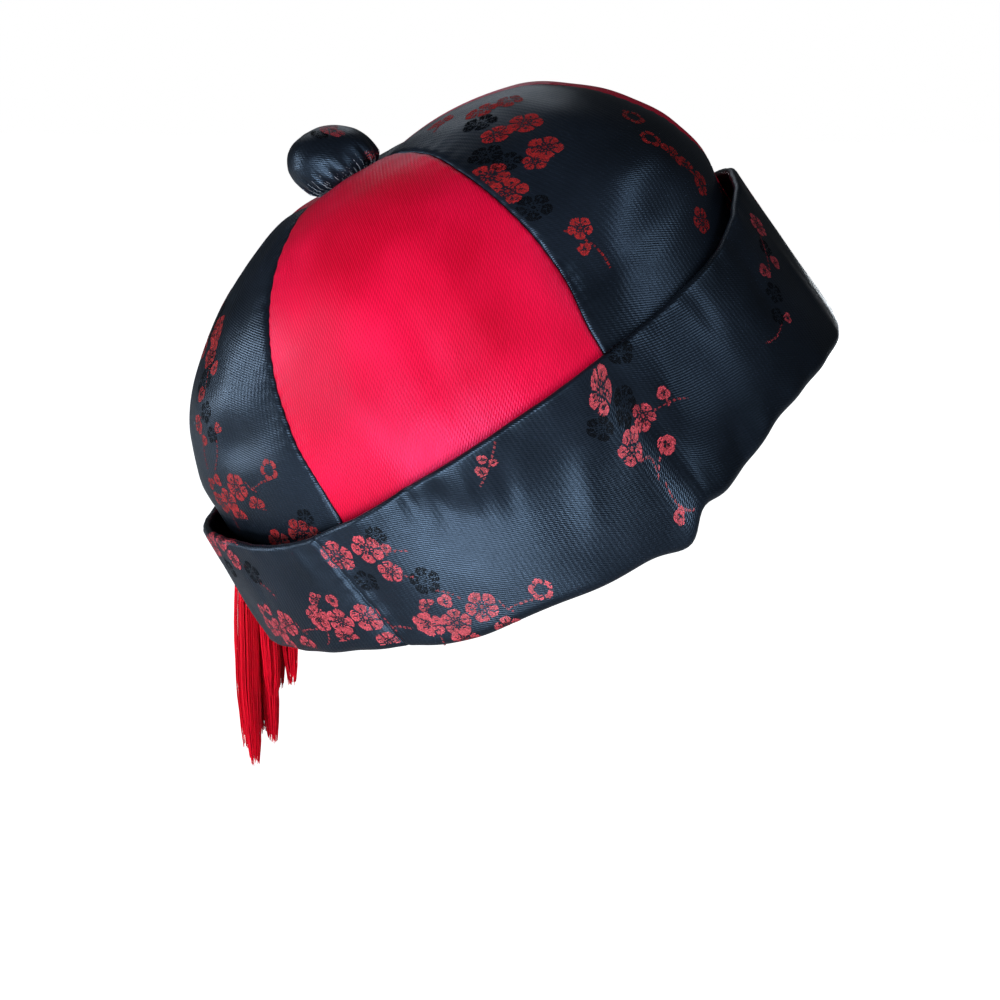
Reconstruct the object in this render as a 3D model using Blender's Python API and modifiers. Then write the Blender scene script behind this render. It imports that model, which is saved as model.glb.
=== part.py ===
"""Six gore skullcap with a turned up cuff, a covered button and a thread tassel.

Metres, up is +Z, the front of the cap is -Y and the wearer's left is +X. The cap is
modelled as worn: it is drawn upright about its own axis and leant back with its
wearer. The origin is the middle of the head opening, at the foot of the crown.

Angles run round the cap from the wearer's right (0) by the front (90) to the
wearer's left (180), and on to the back (270 or -90).
"""
import math

import bmesh
import bpy
from mathutils import Euler, Vector

# Cap as a whole
CAP_HALF_WIDTH = 0.088
CAP_HALF_LENGTH = 0.100
LEAN_BACK = math.radians(32.4)
LEAN_RIGHT = math.radians(6.3)

# Crown
CROWN_HEIGHT = 0.0945
CROWN_STAND = 0.005
CROWN_SHIFT = 0.0053
CROWN_TIP = math.radians(2.6)
CROWN_DENT = 0.004
GORE_WALL = 0.0018
GORE_PUFF = 0.0022
SEAM_GAP = 0.0004

# Cuff
CUFF_DEPTH = 0.048
CUFF_WALL = 0.0015
CUFF_FLARE = 0.0036
CUFF_WAVE = 0.004
CUFF_LAP = 0.005
FOLD_RADIUS = 0.0032
ROLL_RADIUS = 0.0019
LAP_GAP = 0.0006

# Button
BUTTON_WIDTH = 0.0256
BUTTON_HEIGHT = 0.0207
BUTTON_PLEAT = 0.0007
BUTTON_SLUMP = 0.0050
BUTTON_PLEATS = 12
STEM_RADIUS = 0.0034
STEM_GAP = 0.0006
SEAT_GAP = 0.0004

# Tassel
TASSEL_ANGLE = math.radians(-111)
TASSEL_LENGTH = 0.096
TASSEL_HEAD_WIDTH = 0.0096
TASSEL_SKIRT_WIDTH = 0.0188
LOOP_DROP = 0.009
LOOP_RADIUS = 0.0006
LOOP_GAP = 0.0004

# Mesh steps
GORE_COLUMNS = 8
GORE_ROWS = 14
CUFF_STEPS = 60
BUTTON_STEPS = 24
TASSEL_STEPS = 16
LOCK_SIDES = 8

# Crown sections, foot to apex, which the button draws down a little: height as a share
# of CROWN_HEIGHT, then the reach to the side, the front and the back as shares of the
# crown's own half width and half length
CROWN_SECTIONS = (
    (0.000, 0.970, 1.000, 1.000),
    (0.340, 0.915, 0.974, 0.974),
    (0.463, 0.868, 0.986, 0.971),
    (0.598, 0.802, 0.952, 0.906),
    (0.732, 0.722, 0.872, 0.782),
    (0.855, 0.596, 0.752, 0.604),
    (0.955, 0.405, 0.585, 0.372),
    (1.000, 0.200, 0.310, 0.200),
    (0.948, 0.000, 0.000, 0.000),
)

# Seams between the gores: angle at the foot and angle at the apex, in degrees
SEAMS = (
    (-90, -92),
    (-23, -28),
    (31, 35),
    (90, 92),
    (152, 148),
    (212, 210),
)

# Gores in the same order, each between its seam and the next: name and cloth
GORES = (
    ("gore_back_right", "brocade"),
    ("gore_right", "red_satin"),
    ("gore_front_right", "brocade"),
    ("gore_front_left", "red_satin"),
    ("gore_left", "brocade"),
    ("gore_back_left", "red_satin"),
)

# Cuff edges every 30 degrees from -180: top edge and bottom fold, measured from the
# crown's foot, as shares of CUFF_DEPTH
CUFF_EDGES = (
    (0.665, -0.330),
    (0.665, -0.335),
    (0.660, -0.320),
    (0.657, -0.400),
    (0.690, -0.160),
    (0.545, -0.200),
    (0.565, -0.398),
    (0.582, -0.470),
    (0.600, -0.350),
    (0.745, -0.400),
    (0.662, -0.300),
    (0.668, -0.340),
)

# Uneven places in the cuff's bottom fold: angle, half spread in degrees, and rise as a
# share of CUFF_DEPTH
CUFF_DIPS = (
    (-24, 8, -0.032),
    (-13, 9, -0.048),
    (14, 9, -0.028),
    (25, 4, -0.072),
    (29.5, 3, 0.072),
    (34, 5, 0.028),
    (48, 9, 0.048),
)

# Soft folds in the cuff: angle, height from fold (0) to top (1), half spread in
# degrees, half spread in height, and depth as a share of CUFF_WAVE, inward negative
CUFF_FOLDS = (
    (-6, 0.92, 5, 0.20, -0.30),
    (-1, 0.66, 7, 0.22, -0.55),
    (13, 0.62, 10, 0.30, -0.75),
    (-22, 0.45, 3, 0.60, -0.25),
    (-40, 0.30, 12, 0.40, 0.35),
    (30, 0.20, 12, 0.35, 0.40),
    (29, 0.00, 7, 0.22, 0.45),
    (40, 0.05, 5, 0.25, -0.30),
    (56, 0.45, 14, 0.50, 0.45),
    (74, 0.05, 11, 0.35, 0.35),
    (-74, 0.30, 13, 0.50, 0.35),
    (112, 0.40, 16, 0.50, -0.22),
    (150, 0.25, 14, 0.40, 0.35),
    (195, 0.55, 13, 0.40, -0.45),
    (236, 0.15, 12, 0.35, 0.30),
)

# Dents and slack folds in the crown: angle, way up from foot (0) to apex (1), half
# spread in degrees and way, and depth as a share of CROWN_DENT, inward negative
CROWN_FOLDS = (
    (36, 0.26, 4, 0.09, -0.45),
    (52, 0.24, 12, 0.07, -0.45),
    (60, 0.36, 12, 0.06, 0.35),
    (6, 0.30, 3, 0.20, -0.16),
    (16, 0.34, 3, 0.22, 0.14),
    (-8, 0.24, 4, 0.18, 0.14),
    (-40, 0.33, 8, 0.06, -0.35),
    (-52, 0.45, 14, 0.07, 0.30),
    (-78, 0.30, 12, 0.06, -0.40),
    (118, 0.27, 12, 0.07, -0.45),
    (160, 0.30, 10, 0.08, -0.35),
    (200, 0.42, 14, 0.09, 0.30),
    (248, 0.28, 12, 0.07, -0.45),
)

# Button profile: reach and height as shares of its half width and its height
BUTTON_PROFILE = (
    (0.00, 1.000),
    (0.30, 0.980),
    (0.58, 0.910),
    (0.80, 0.790),
    (0.95, 0.640),
    (1.00, 0.480),
    (0.98, 0.330),
    (0.90, 0.200),
    (0.72, 0.110),
    (0.66, 0.065),
    (0.68, 0.025),
    (0.66, 0.000),
)
BUTTON_WAIST_SHARE = 0.24

# Tassel locks: angle round the tassel, reach at the tip as a share of the skirt's half
# width, length as a share of TASSEL_LENGTH, thickness as a share of the skirt's half width
TASSEL_LOCKS = (
    (90, 0.80, 0.96, 0.36),
    (40, 0.60, 0.92, 0.38),
    (140, 0.62, 1.00, 0.38),
    (0, 0.05, 0.94, 0.40),
    (-35, 0.48, 0.72, 0.38),
    (-90, 0.86, 0.68, 0.36),
    (-145, 0.55, 0.71, 0.38),
)
LOCK_SECTIONS = (
    (0.00, 0.00, 0.80),
    (0.14, 0.45, 1.00),
    (0.40, 0.85, 1.08),
    (0.75, 0.97, 0.95),
    (0.93, 1.00, 0.62),
    (1.00, 1.00, 0.22),
)
TASSEL_HEAD = (
    (0.00, 1.00),
    (0.62, 0.93),
    (0.96, 0.66),
    (1.00, 0.45),
    (0.80, 0.16),
    (0.66, 0.06),
    (0.80, -0.08),
    (0.96, -0.30),
    (0.70, -0.55),
    (0.00, -0.62),
)
TASSEL_HEAD_HEIGHT = 0.0105

COLOURS = {
    "brocade": ((0.011, 0.013, 0.018, 1.0), 0.38),
    "red_satin": ((0.72, 0.008, 0.035, 1.0), 0.36),
    "tassel_thread": ((0.62, 0.006, 0.022, 1.0), 0.55),
}


def clear_scene():
    """Remove whatever the file opened with."""
    for thing in list(bpy.data.objects):
        bpy.data.objects.remove(thing, do_unlink=True)


def make_material(name):
    """Plain Principled material of one cloth."""
    colour, roughness = COLOURS[name]
    material = bpy.data.materials.get(name) or bpy.data.materials.new(name)
    material.use_nodes = True
    shader = material.node_tree.nodes["Principled BSDF"]
    shader.inputs["Base Color"].default_value = colour
    shader.inputs["Roughness"].default_value = roughness
    shader.inputs["Metallic"].default_value = 0.0
    return material


def read_column(rows, column, share):
    """Value of one table column at a share of the way, with no overshoot."""
    last = len(rows) - 1
    place = min(max(share, 0.0), 1.0) * last
    i = min(int(place), last - 1)
    t = place - i
    values = [row[column] for row in rows]
    steps = [values[k + 1] - values[k] for k in range(last)]
    slopes = [steps[0]]
    for before, after in zip(steps, steps[1:]):
        slopes.append(2 * before * after / (before + after) if before * after > 0 else 0.0)
    slopes.append(steps[-1])
    rise = t * t * (3 - 2 * t)
    start = t * (1 - t) ** 2
    end = t * t * (t - 1)
    return values[i] + steps[i] * rise + slopes[i] * start + slopes[i + 1] * end


def read_ring(rows, column, angle):
    """Value of one table column at an angle, smooth all the way round."""
    place = (math.degrees(angle) + 180.0) / 360.0 * len(rows)
    i = math.floor(place)
    t = place - i
    a, b, c, d = (rows[(i + k) % len(rows)][column] for k in (-1, 0, 1, 2))
    return b + 0.5 * t * (c - a + t * (2 * a - 5 * b + 4 * c - d + t * (3 * (b - c) + d - a)))


def angle_off(angle, middle):
    """Degrees from a middle to an angle, the short way round."""
    return (math.degrees(angle) - middle + 180.0) % 360.0 - 180.0


def read_folds(rows, angle, way):
    """Sum of the soft folds at one place, as a share of their depth."""
    total = 0.0
    for middle, height, spread, rise, depth in rows:
        turn = angle_off(angle, middle)
        total += depth * math.exp(-((turn / spread) ** 2) - ((way - height) / rise) ** 2)
    return total


def mapped_grid(name, columns, rows, place, closed=False):
    """Open surface: a grid laid out by place(across, along), both from 0 to 1."""
    mesh = bpy.data.meshes.new(name)
    bm = bmesh.new()
    bmesh.ops.create_grid(bm, x_segments=columns, y_segments=rows, size=0.5)
    for vert in bm.verts:
        vert.co = place(vert.co.x + 0.5, vert.co.y + 0.5)
    if closed:
        bmesh.ops.remove_doubles(bm, verts=bm.verts, dist=0.00001)
    bm.to_mesh(mesh)
    bm.free()
    return bpy.data.objects.new(name, mesh)


def add_wall(thing, wall):
    """Give an open surface its cloth thickness, on its inner side."""
    solid = thing.modifiers.new("cloth", "SOLIDIFY")
    solid.thickness = wall
    solid.offset = -1.0
    solid.use_even_offset = True


def finish(thing, material, collection, parent=None):
    """Shade, colour and file one sub-part."""
    thing.data.materials.clear()
    thing.data.materials.append(material)
    if isinstance(thing.data, bpy.types.Mesh):
        thing.data.shade_smooth()
    collection.objects.link(thing)
    thing.parent = parent
    return thing


def crown_half_sizes():
    """The crown's own half width and half length at its foot."""
    return CAP_HALF_WIDTH - CROWN_STAND, CAP_HALF_LENGTH - CROWN_STAND


def apex_hole():
    """Radius of the hole that the button's stem passes through."""
    return STEM_RADIUS + STEM_GAP


def crown_base(angle, way):
    """Point of the crown's smooth form, without puff or folds."""
    wide, long = crown_half_sizes()
    hole = apex_hole()
    height = read_column(CROWN_SECTIONS, 0, way)
    side = hole + (wide - hole) * read_column(CROWN_SECTIONS, 1, way)
    front = hole + (long - hole) * read_column(CROWN_SECTIONS, 2, way)
    back = hole + (long - hole) * read_column(CROWN_SECTIONS, 3, way)
    forward = 0.5 + 0.5 * math.sin(angle)
    x = -side * math.cos(angle)
    y = -(front * forward + back * (1 - forward)) * math.sin(angle)
    tip = CROWN_TIP * height**2
    return Vector((
        x * math.cos(tip) + CROWN_SHIFT * height,
        y,
        CROWN_HEIGHT * height - x * math.sin(tip),
    ))


def crown_normal(angle, way):
    """Outward direction of the crown's smooth form."""
    step = 0.01
    low = max(way - step, 0.0)
    high = min(way + step, 0.985)
    round_ = crown_base(angle + step, min(way, 0.985)) - crown_base(angle - step, min(way, 0.985))
    up = crown_base(angle, max(high, low + step)) - crown_base(angle, low)
    return round_.cross(up).normalized()


def gore_point(seam, next_seam, across, way):
    """Point of a gore's outer face, between its two seams."""
    start = math.radians(seam[0] + (seam[1] - seam[0]) * way)
    end = math.radians(next_seam[0] + (next_seam[1] - next_seam[0]) * way)
    wide, long = crown_half_sizes()
    reach = crown_base(0.5 * (start + end), way)
    margin = 0.5 * SEAM_GAP / max(math.hypot(reach.x - CROWN_SHIFT, reach.y), apex_hole())
    angle = start + margin + (end - start - 2 * margin) * across
    puff = math.sin(math.pi * across) ** 0.75 - 0.65
    swell = GORE_PUFF * puff * math.sin(math.pi * way) ** 0.8
    swell += CROWN_DENT * read_folds(CROWN_FOLDS, angle, way)
    if way <= 0.0 or way >= 1.0:
        return crown_base(angle, way)
    return crown_base(angle, way) + crown_normal(angle, way) * swell


def make_gores(materials, collection, parent):
    """Six gores, each its own cloth wall between two seams."""
    for i, (name, cloth) in enumerate(GORES):
        seam = SEAMS[i]
        turn = 360 if i + 1 == len(SEAMS) else 0
        following = tuple(angle + turn for angle in SEAMS[(i + 1) % len(SEAMS)])
        gore = mapped_grid(
            name, GORE_COLUMNS, GORE_ROWS,
            lambda across, way: gore_point(seam, following, across, way),
        )
        add_wall(gore, GORE_WALL)
        finish(gore, materials[cloth], collection, parent)


def cuff_heights(angle):
    """Top edge and bottom fold of the cuff at an angle, above the crown's foot."""
    top = CUFF_DEPTH * read_ring(CUFF_EDGES, 0, angle)
    bottom = CUFF_DEPTH * read_ring(CUFF_EDGES, 1, angle)
    for middle, spread, rise in CUFF_DIPS:
        bottom += CUFF_DEPTH * rise * math.exp(-((angle_off(angle, middle) / spread) ** 2))
    return top, bottom


def cuff_point(angle, inset, height):
    """Point of the cuff, a distance in from its outer face."""
    top, bottom = cuff_heights(angle)
    way = (height - bottom) / (top - bottom)
    flare = CUFF_FLARE * (0.5 - way)
    wide = CAP_HALF_WIDTH + flare
    long = CAP_HALF_LENGTH + flare
    out = Vector((-math.cos(angle) / wide, -math.sin(angle) / long, 0.0)).normalized()
    edge = Vector((-wide * math.cos(angle), -long * math.sin(angle), height))
    wave = CUFF_WAVE * read_folds(CUFF_FOLDS, angle, way)
    return edge + out * (wave - inset)


def lap_point(angle, height):
    """Point of the cuff's inner ply where it laps inside the crown's foot."""
    foot = crown_base(angle, 0.0)
    above = crown_base(angle, 0.05)
    lean = (above - foot) / (above.z - foot.z)
    out = Vector((foot.x, foot.y, 0.0)).normalized()
    rise = Vector((lean.x, lean.y, 1.0)) * height
    return foot + rise - out * (GORE_WALL + LAP_GAP + CUFF_WALL)


def cuff_section(angle):
    """Outline of the folded band, from its inner ply round the fold to the roll."""
    top, bottom = cuff_heights(angle)
    fold = bottom + FOLD_RADIUS
    start = cuff_point(angle, 2 * FOLD_RADIUS, fold)
    sewn = lap_point(angle, -0.3 * CUFF_LAP)
    points = [lap_point(angle, CUFF_LAP), sewn, 0.5 * (sewn + start), start]
    for turn in (45, 90, 135):
        reach = FOLD_RADIUS * (1 + math.cos(math.radians(turn)))
        drop = FOLD_RADIUS * math.sin(math.radians(turn))
        points.append(cuff_point(angle, reach, fold - drop))
    roll = top - ROLL_RADIUS
    for share in (0.0, 0.2, 0.4, 0.6, 0.8, 1.0):
        points.append(cuff_point(angle, 0.0, fold + (roll - fold) * share))
    for turn in (40, 85, 130, 165):
        reach = ROLL_RADIUS * (1 - math.cos(math.radians(turn)))
        rise = ROLL_RADIUS * math.sin(math.radians(turn))
        points.append(cuff_point(angle, reach, roll + rise))
    return points


def make_cuff(materials, collection, parent):
    """The turned up band, one ply of cloth folded at the bottom."""
    sections = {}

    def place(across, along):
        column = round(across * CUFF_STEPS) % CUFF_STEPS
        if column not in sections:
            sections[column] = cuff_section(2 * math.pi * column / CUFF_STEPS - math.pi)
        return sections[column][round(along * (len(sections[column]) - 1))]

    rows = len(cuff_section(0.0)) - 1
    cuff = mapped_grid("cuff", CUFF_STEPS, rows, place, closed=True)
    add_wall(cuff, CUFF_WALL)
    finish(cuff, materials["brocade"], collection, parent)


def seat_height(reach):
    """Highest that the crown's faces come at a reach from the apex, above the apex."""
    wide, long = crown_half_sizes()
    hole = apex_hole()
    highest = 0.0
    for column, half in ((1, wide), (2, long), (3, long)):
        ways = [1 - k / GORE_ROWS for k in range(4)]
        reaches = [hole + (half - hole) * read_column(CROWN_SECTIONS, column, way) for way in ways]
        heights = [CROWN_HEIGHT * read_column(CROWN_SECTIONS, 0, way) for way in ways]
        for k in range(3):
            if reaches[k] <= reach < reaches[k + 1]:
                share = (reach - reaches[k]) / (reaches[k + 1] - reaches[k])
                highest = max(highest, heights[k] + (heights[k + 1] - heights[k]) * share - heights[0])
    return highest


def make_button(materials, collection, parent):
    """Covered button with a gathered base, and the stem that holds it."""
    half = 0.5 * BUTTON_WIDTH
    rim = half * BUTTON_PROFILE[-1][0] + BUTTON_PLEAT
    seat = seat_height(rim) + SEAT_GAP
    profile = [(half * reach, BUTTON_HEIGHT * height + seat) for reach, height in BUTTON_PROFILE]
    middle = 0.5 * (rim + apex_hole())
    profile += [(middle, seat_height(middle) + SEAT_GAP), (STEM_RADIUS, SEAT_GAP)]
    profile += [(STEM_RADIUS, -2 * GORE_WALL), (0.0, -2 * GORE_WALL)]
    mesh = bpy.data.meshes.new("button")
    bm = bmesh.new()
    verts = [bm.verts.new((reach, 0.0, height)) for reach, height in profile]
    edges = [bm.edges.new(pair) for pair in zip(verts, verts[1:])]
    bmesh.ops.spin(bm, geom=verts + edges, cent=(0, 0, 0), axis=(0, 0, 1), angle=2 * math.pi, steps=BUTTON_STEPS)
    bmesh.ops.remove_doubles(bm, verts=bm.verts, dist=0.00001)
    bmesh.ops.recalc_face_normals(bm, faces=bm.faces)
    for vert in bm.verts:
        height = (vert.co.z - seat) / BUTTON_HEIGHT
        vert.co.y += BUTTON_SLUMP * max(height, 0.0)
        if -0.01 <= height <= BUTTON_WAIST_SHARE:
            angle = math.atan2(vert.co.y, vert.co.x)
            pleat = BUTTON_PLEAT * math.cos(BUTTON_PLEATS * angle) * (1 - max(height, 0.0) / BUTTON_WAIST_SHARE)
            out = Vector((vert.co.x, vert.co.y, 0.0)).normalized()
            vert.co += out * pleat
    bm.to_mesh(mesh)
    bm.free()
    button = bpy.data.objects.new("button", mesh)
    finish(button, materials["brocade"], collection, parent)
    button.location = crown_base(0.0, 1.0) + Vector((apex_hole(), 0.0, 0.0))
    button.rotation_euler = (0.0, CROWN_TIP, 0.0)


def hang_point(lean):
    """Outermost place of the cuff's rolled edge where the tassel hangs, in the world."""
    top, _ = cuff_heights(TASSEL_ANGLE)
    return lean @ cuff_point(TASSEL_ANGLE, 0.0, top - ROLL_RADIUS)


def turned(name, rows, half, height):
    """Closed turned solid from shares of a half width and a height."""
    bm = bmesh.new()
    verts = [bm.verts.new((half * reach, 0.0, height * rise)) for reach, rise in rows]
    edges = [bm.edges.new(pair) for pair in zip(verts, verts[1:])]
    bmesh.ops.spin(bm, geom=verts + edges, cent=(0, 0, 0), axis=(0, 0, 1), angle=2 * math.pi, steps=TASSEL_STEPS)
    bmesh.ops.remove_doubles(bm, verts=bm.verts, dist=0.00001)
    bmesh.ops.recalc_face_normals(bm, faces=bm.faces)
    mesh = bpy.data.meshes.new(name)
    bm.to_mesh(mesh)
    bm.free()
    return bpy.data.objects.new(name, mesh)


def lock_tube(name, angle, reach, length, thick):
    """One closed lock of threads, from inside the head down to its tip."""
    half = 0.5 * TASSEL_SKIRT_WIDTH
    out = Vector((math.cos(math.radians(angle)), math.sin(math.radians(angle)), 0.0))
    bm = bmesh.new()
    rings = []
    for along, spread, width in LOCK_SECTIONS:
        middle = out * (half * reach * spread + 0.12 * half) + Vector((0, 0, -TASSEL_LENGTH * length * along))
        radius = half * thick * width
        ring = []
        for k in range(LOCK_SIDES):
            turn = 2 * math.pi * k / LOCK_SIDES
            ring.append(bm.verts.new(middle + Vector((radius * math.cos(turn), radius * math.sin(turn), 0.0))))
        rings.append(ring)
    for upper, lower in zip(rings, rings[1:]):
        bmesh.ops.bridge_loops(bm, edges=ring_edges(bm, upper) + ring_edges(bm, lower))
    bm.faces.new(rings[0])
    bm.faces.new(rings[-1])
    bmesh.ops.recalc_face_normals(bm, faces=bm.faces)
    mesh = bpy.data.meshes.new(name)
    bm.to_mesh(mesh)
    bm.free()
    return bpy.data.objects.new(name, mesh)


def ring_edges(bm, ring):
    """Edges of one closed ring, made where they are missing."""
    edges = []
    for a, b in zip(ring, ring[1:] + ring[:1]):
        edges.append(bm.edges.get((a, b)) or bm.edges.new((a, b)))
    return edges


def make_tassel(materials, collection, cutters, lean):
    """Thread tassel: a bound head with its locks, fused to one solid."""
    loop = LOOP_RADIUS + LOOP_GAP
    out = lean @ cuff_point(TASSEL_ANGLE, -loop, 0.0) - lean @ cuff_point(TASSEL_ANGLE, 0.0, 0.0)
    place = hang_point(lean) + Vector((out.x, out.y, 0.0))
    place.z -= LOOP_DROP + TASSEL_HEAD_HEIGHT
    tassel = turned("tassel", TASSEL_HEAD, 0.5 * TASSEL_HEAD_WIDTH, TASSEL_HEAD_HEIGHT)
    tassel.location = place
    finish(tassel, materials["tassel_thread"], collection)
    for k, (angle, reach, length, thick) in enumerate(TASSEL_LOCKS):
        lock = lock_tube(f"lock_{k + 1}", angle, reach, length, thick)
        lock.location = place
        lock.hide_render = True
        lock.display_type = "WIRE"
        cutters.objects.link(lock)
    union = tassel.modifiers.new("locks", "BOOLEAN")
    union.operation = "UNION"
    union.solver = "EXACT"
    union.operand_type = "COLLECTION"
    union.collection = cutters
    return place


def make_loop(materials, collection, lean, place):
    """Short cord that holds the tassel over the cuff's rolled edge."""
    top, _ = cuff_heights(TASSEL_ANGLE)
    clear = LOOP_RADIUS + LOOP_GAP
    bow = ROLL_RADIUS + clear
    points = [Vector((place.x, place.y, place.z + TASSEL_HEAD_HEIGHT + clear))]
    points.append(points[0].lerp(lean @ cuff_point(TASSEL_ANGLE, -clear, top - 2 * ROLL_RADIUS), 0.5))
    for turn in range(0, 181, 30):
        reach = ROLL_RADIUS - bow * math.cos(math.radians(turn))
        rise = bow * math.sin(math.radians(turn))
        points.append(lean @ cuff_point(TASSEL_ANGLE, reach, top - ROLL_RADIUS + rise))
    points.append(lean @ cuff_point(TASSEL_ANGLE, 2 * ROLL_RADIUS, top - 2.5 * ROLL_RADIUS))
    curve = bpy.data.curves.new("tassel_loop", "CURVE")
    curve.dimensions = "3D"
    curve.bevel_depth = LOOP_RADIUS
    curve.bevel_resolution = 2
    curve.use_fill_caps = True
    spline = curve.splines.new("POLY")
    spline.points.add(len(points) - 1)
    for point, place_ in zip(spline.points, points):
        point.co = (*place_, 1.0)
    finish(bpy.data.objects.new("tassel_loop", curve), materials["tassel_thread"], collection)


def main():
    """Build the cap."""
    clear_scene()
    collection = bpy.data.collections.new("skullcap")
    cutters = bpy.data.collections.new("tassel_locks")
    bpy.context.scene.collection.children.link(collection)
    bpy.context.scene.collection.children.link(cutters)
    materials = {name: make_material(name) for name in COLOURS}
    axis = bpy.data.objects.new("cap_axis", None)
    axis.rotation_mode = "YXZ"
    axis.rotation_euler = (-LEAN_BACK, -LEAN_RIGHT, 0.0)
    collection.objects.link(axis)
    lean = Euler((-LEAN_BACK, -LEAN_RIGHT, 0.0), "YXZ").to_matrix().to_4x4()
    make_gores(materials, collection, axis)
    make_cuff(materials, collection, axis)
    make_button(materials, collection, axis)
    place = make_tassel(materials, collection, cutters, lean)
    make_loop(materials, collection, lean, place)
    bpy.context.view_layer.update()


main()
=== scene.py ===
"""Looks of a six gore skullcap: sewn crown, turned up cuff, covered button and thread tassel.

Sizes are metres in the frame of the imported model. The cap is laid out upright about its own
axis, in the cap's frame, and leant back with its wearer by Lean. Angles run round the cap from
the wearer's right (0) by the front (90) to the wearer's left (180) and the back (-90).
Cloth is charted in millimetres on its own panel, across and along.
"""
import logging
import math
from dataclasses import dataclass, field
from enum import Enum

import bmesh
import bpy
import numpy as np
from bpy.types import Material, NodeSocket, NodeTree, Object
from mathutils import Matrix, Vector
from numpy import ndarray


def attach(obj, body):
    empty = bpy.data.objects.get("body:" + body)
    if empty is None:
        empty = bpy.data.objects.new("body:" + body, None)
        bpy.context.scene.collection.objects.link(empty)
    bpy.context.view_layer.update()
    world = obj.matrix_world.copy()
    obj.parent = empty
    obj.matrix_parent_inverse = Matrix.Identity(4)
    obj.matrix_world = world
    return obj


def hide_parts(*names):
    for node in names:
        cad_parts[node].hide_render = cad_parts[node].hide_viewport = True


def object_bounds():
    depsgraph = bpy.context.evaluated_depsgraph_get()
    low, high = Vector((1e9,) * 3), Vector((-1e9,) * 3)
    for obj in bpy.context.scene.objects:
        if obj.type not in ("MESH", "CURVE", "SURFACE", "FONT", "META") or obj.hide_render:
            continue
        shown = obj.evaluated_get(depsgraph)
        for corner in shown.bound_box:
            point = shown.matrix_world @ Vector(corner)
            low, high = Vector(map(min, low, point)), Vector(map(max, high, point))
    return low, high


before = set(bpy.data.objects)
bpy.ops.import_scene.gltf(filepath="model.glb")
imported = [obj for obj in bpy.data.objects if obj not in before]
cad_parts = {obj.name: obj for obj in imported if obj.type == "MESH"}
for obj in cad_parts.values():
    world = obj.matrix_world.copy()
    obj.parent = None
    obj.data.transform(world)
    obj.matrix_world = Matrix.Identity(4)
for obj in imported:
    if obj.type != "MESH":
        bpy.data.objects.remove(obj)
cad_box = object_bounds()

log = logging.getLogger("skullcap")

BODY = "root"
CLOTH_UV = "cloth"
SHADE = "shade"
MM = 0.001

# Millimetres of cloth in one unit of its chart
CHART_UNIT = 10.0


class Slot(Enum):
    """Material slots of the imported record."""

    BROCADE = "brocade"
    RED_SATIN = "red_satin"
    THREAD = "tassel_thread"


class Motif(Enum):
    """Forms that the brocade's extra threads make."""

    BLOSSOM = "blossom"
    DARK = "dark blossom"
    OPEN = "open blossom"
    HALF = "half blossom"
    BUD = "bud"
    TWIG = "twig"


BLOSSOM, DARK, OPEN, HALF, BUD, TWIG = Motif


# --------------------------------------------------------------------------- tables

# Crown sections, foot to apex: height, reach to the side, the front and the back, as shares
CROWN_SECTIONS = (
    (0.000, 0.970, 1.000, 1.000),
    (0.340, 0.915, 0.974, 0.974),
    (0.463, 0.868, 0.986, 0.971),
    (0.598, 0.802, 0.952, 0.906),
    (0.732, 0.722, 0.872, 0.782),
    (0.855, 0.596, 0.752, 0.604),
    (0.955, 0.405, 0.585, 0.372),
    (1.000, 0.200, 0.310, 0.200),
    (0.948, 0.000, 0.000, 0.000),
)

# Seams between the gores: degrees at the foot and at the apex
SEAMS = ((-90, -92), (-23, -28), (31, 35), (90, 92), (152, 148), (212, 210))

# Gores in the same order: name and cloth
GORES = (
    ("gore_back_right", Slot.BROCADE),
    ("gore_right", Slot.RED_SATIN),
    ("gore_front_right", Slot.BROCADE),
    ("gore_front_left", Slot.RED_SATIN),
    ("gore_left", Slot.BROCADE),
    ("gore_back_left", Slot.RED_SATIN),
)

# Cuff edges every 30 degrees from -180: top and bottom as shares of the cuff's depth
CUFF_EDGES = (
    (0.665, -0.330), (0.665, -0.335), (0.660, -0.320), (0.657, -0.400), (0.690, -0.160), (0.545, -0.200),
    (0.565, -0.398), (0.582, -0.470), (0.600, -0.350), (0.745, -0.400), (0.662, -0.300), (0.668, -0.340),
)

# Uneven places in the cuff's bottom fold: angle, half spread in degrees, rise as a share
CUFF_DIPS = (
    (-24, 8, -0.032), (-13, 9, -0.048), (14, 9, -0.028), (25, 4, -0.072), (29.5, 3, 0.072), (34, 5, 0.028),
    (48, 9, 0.048),
)

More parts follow.
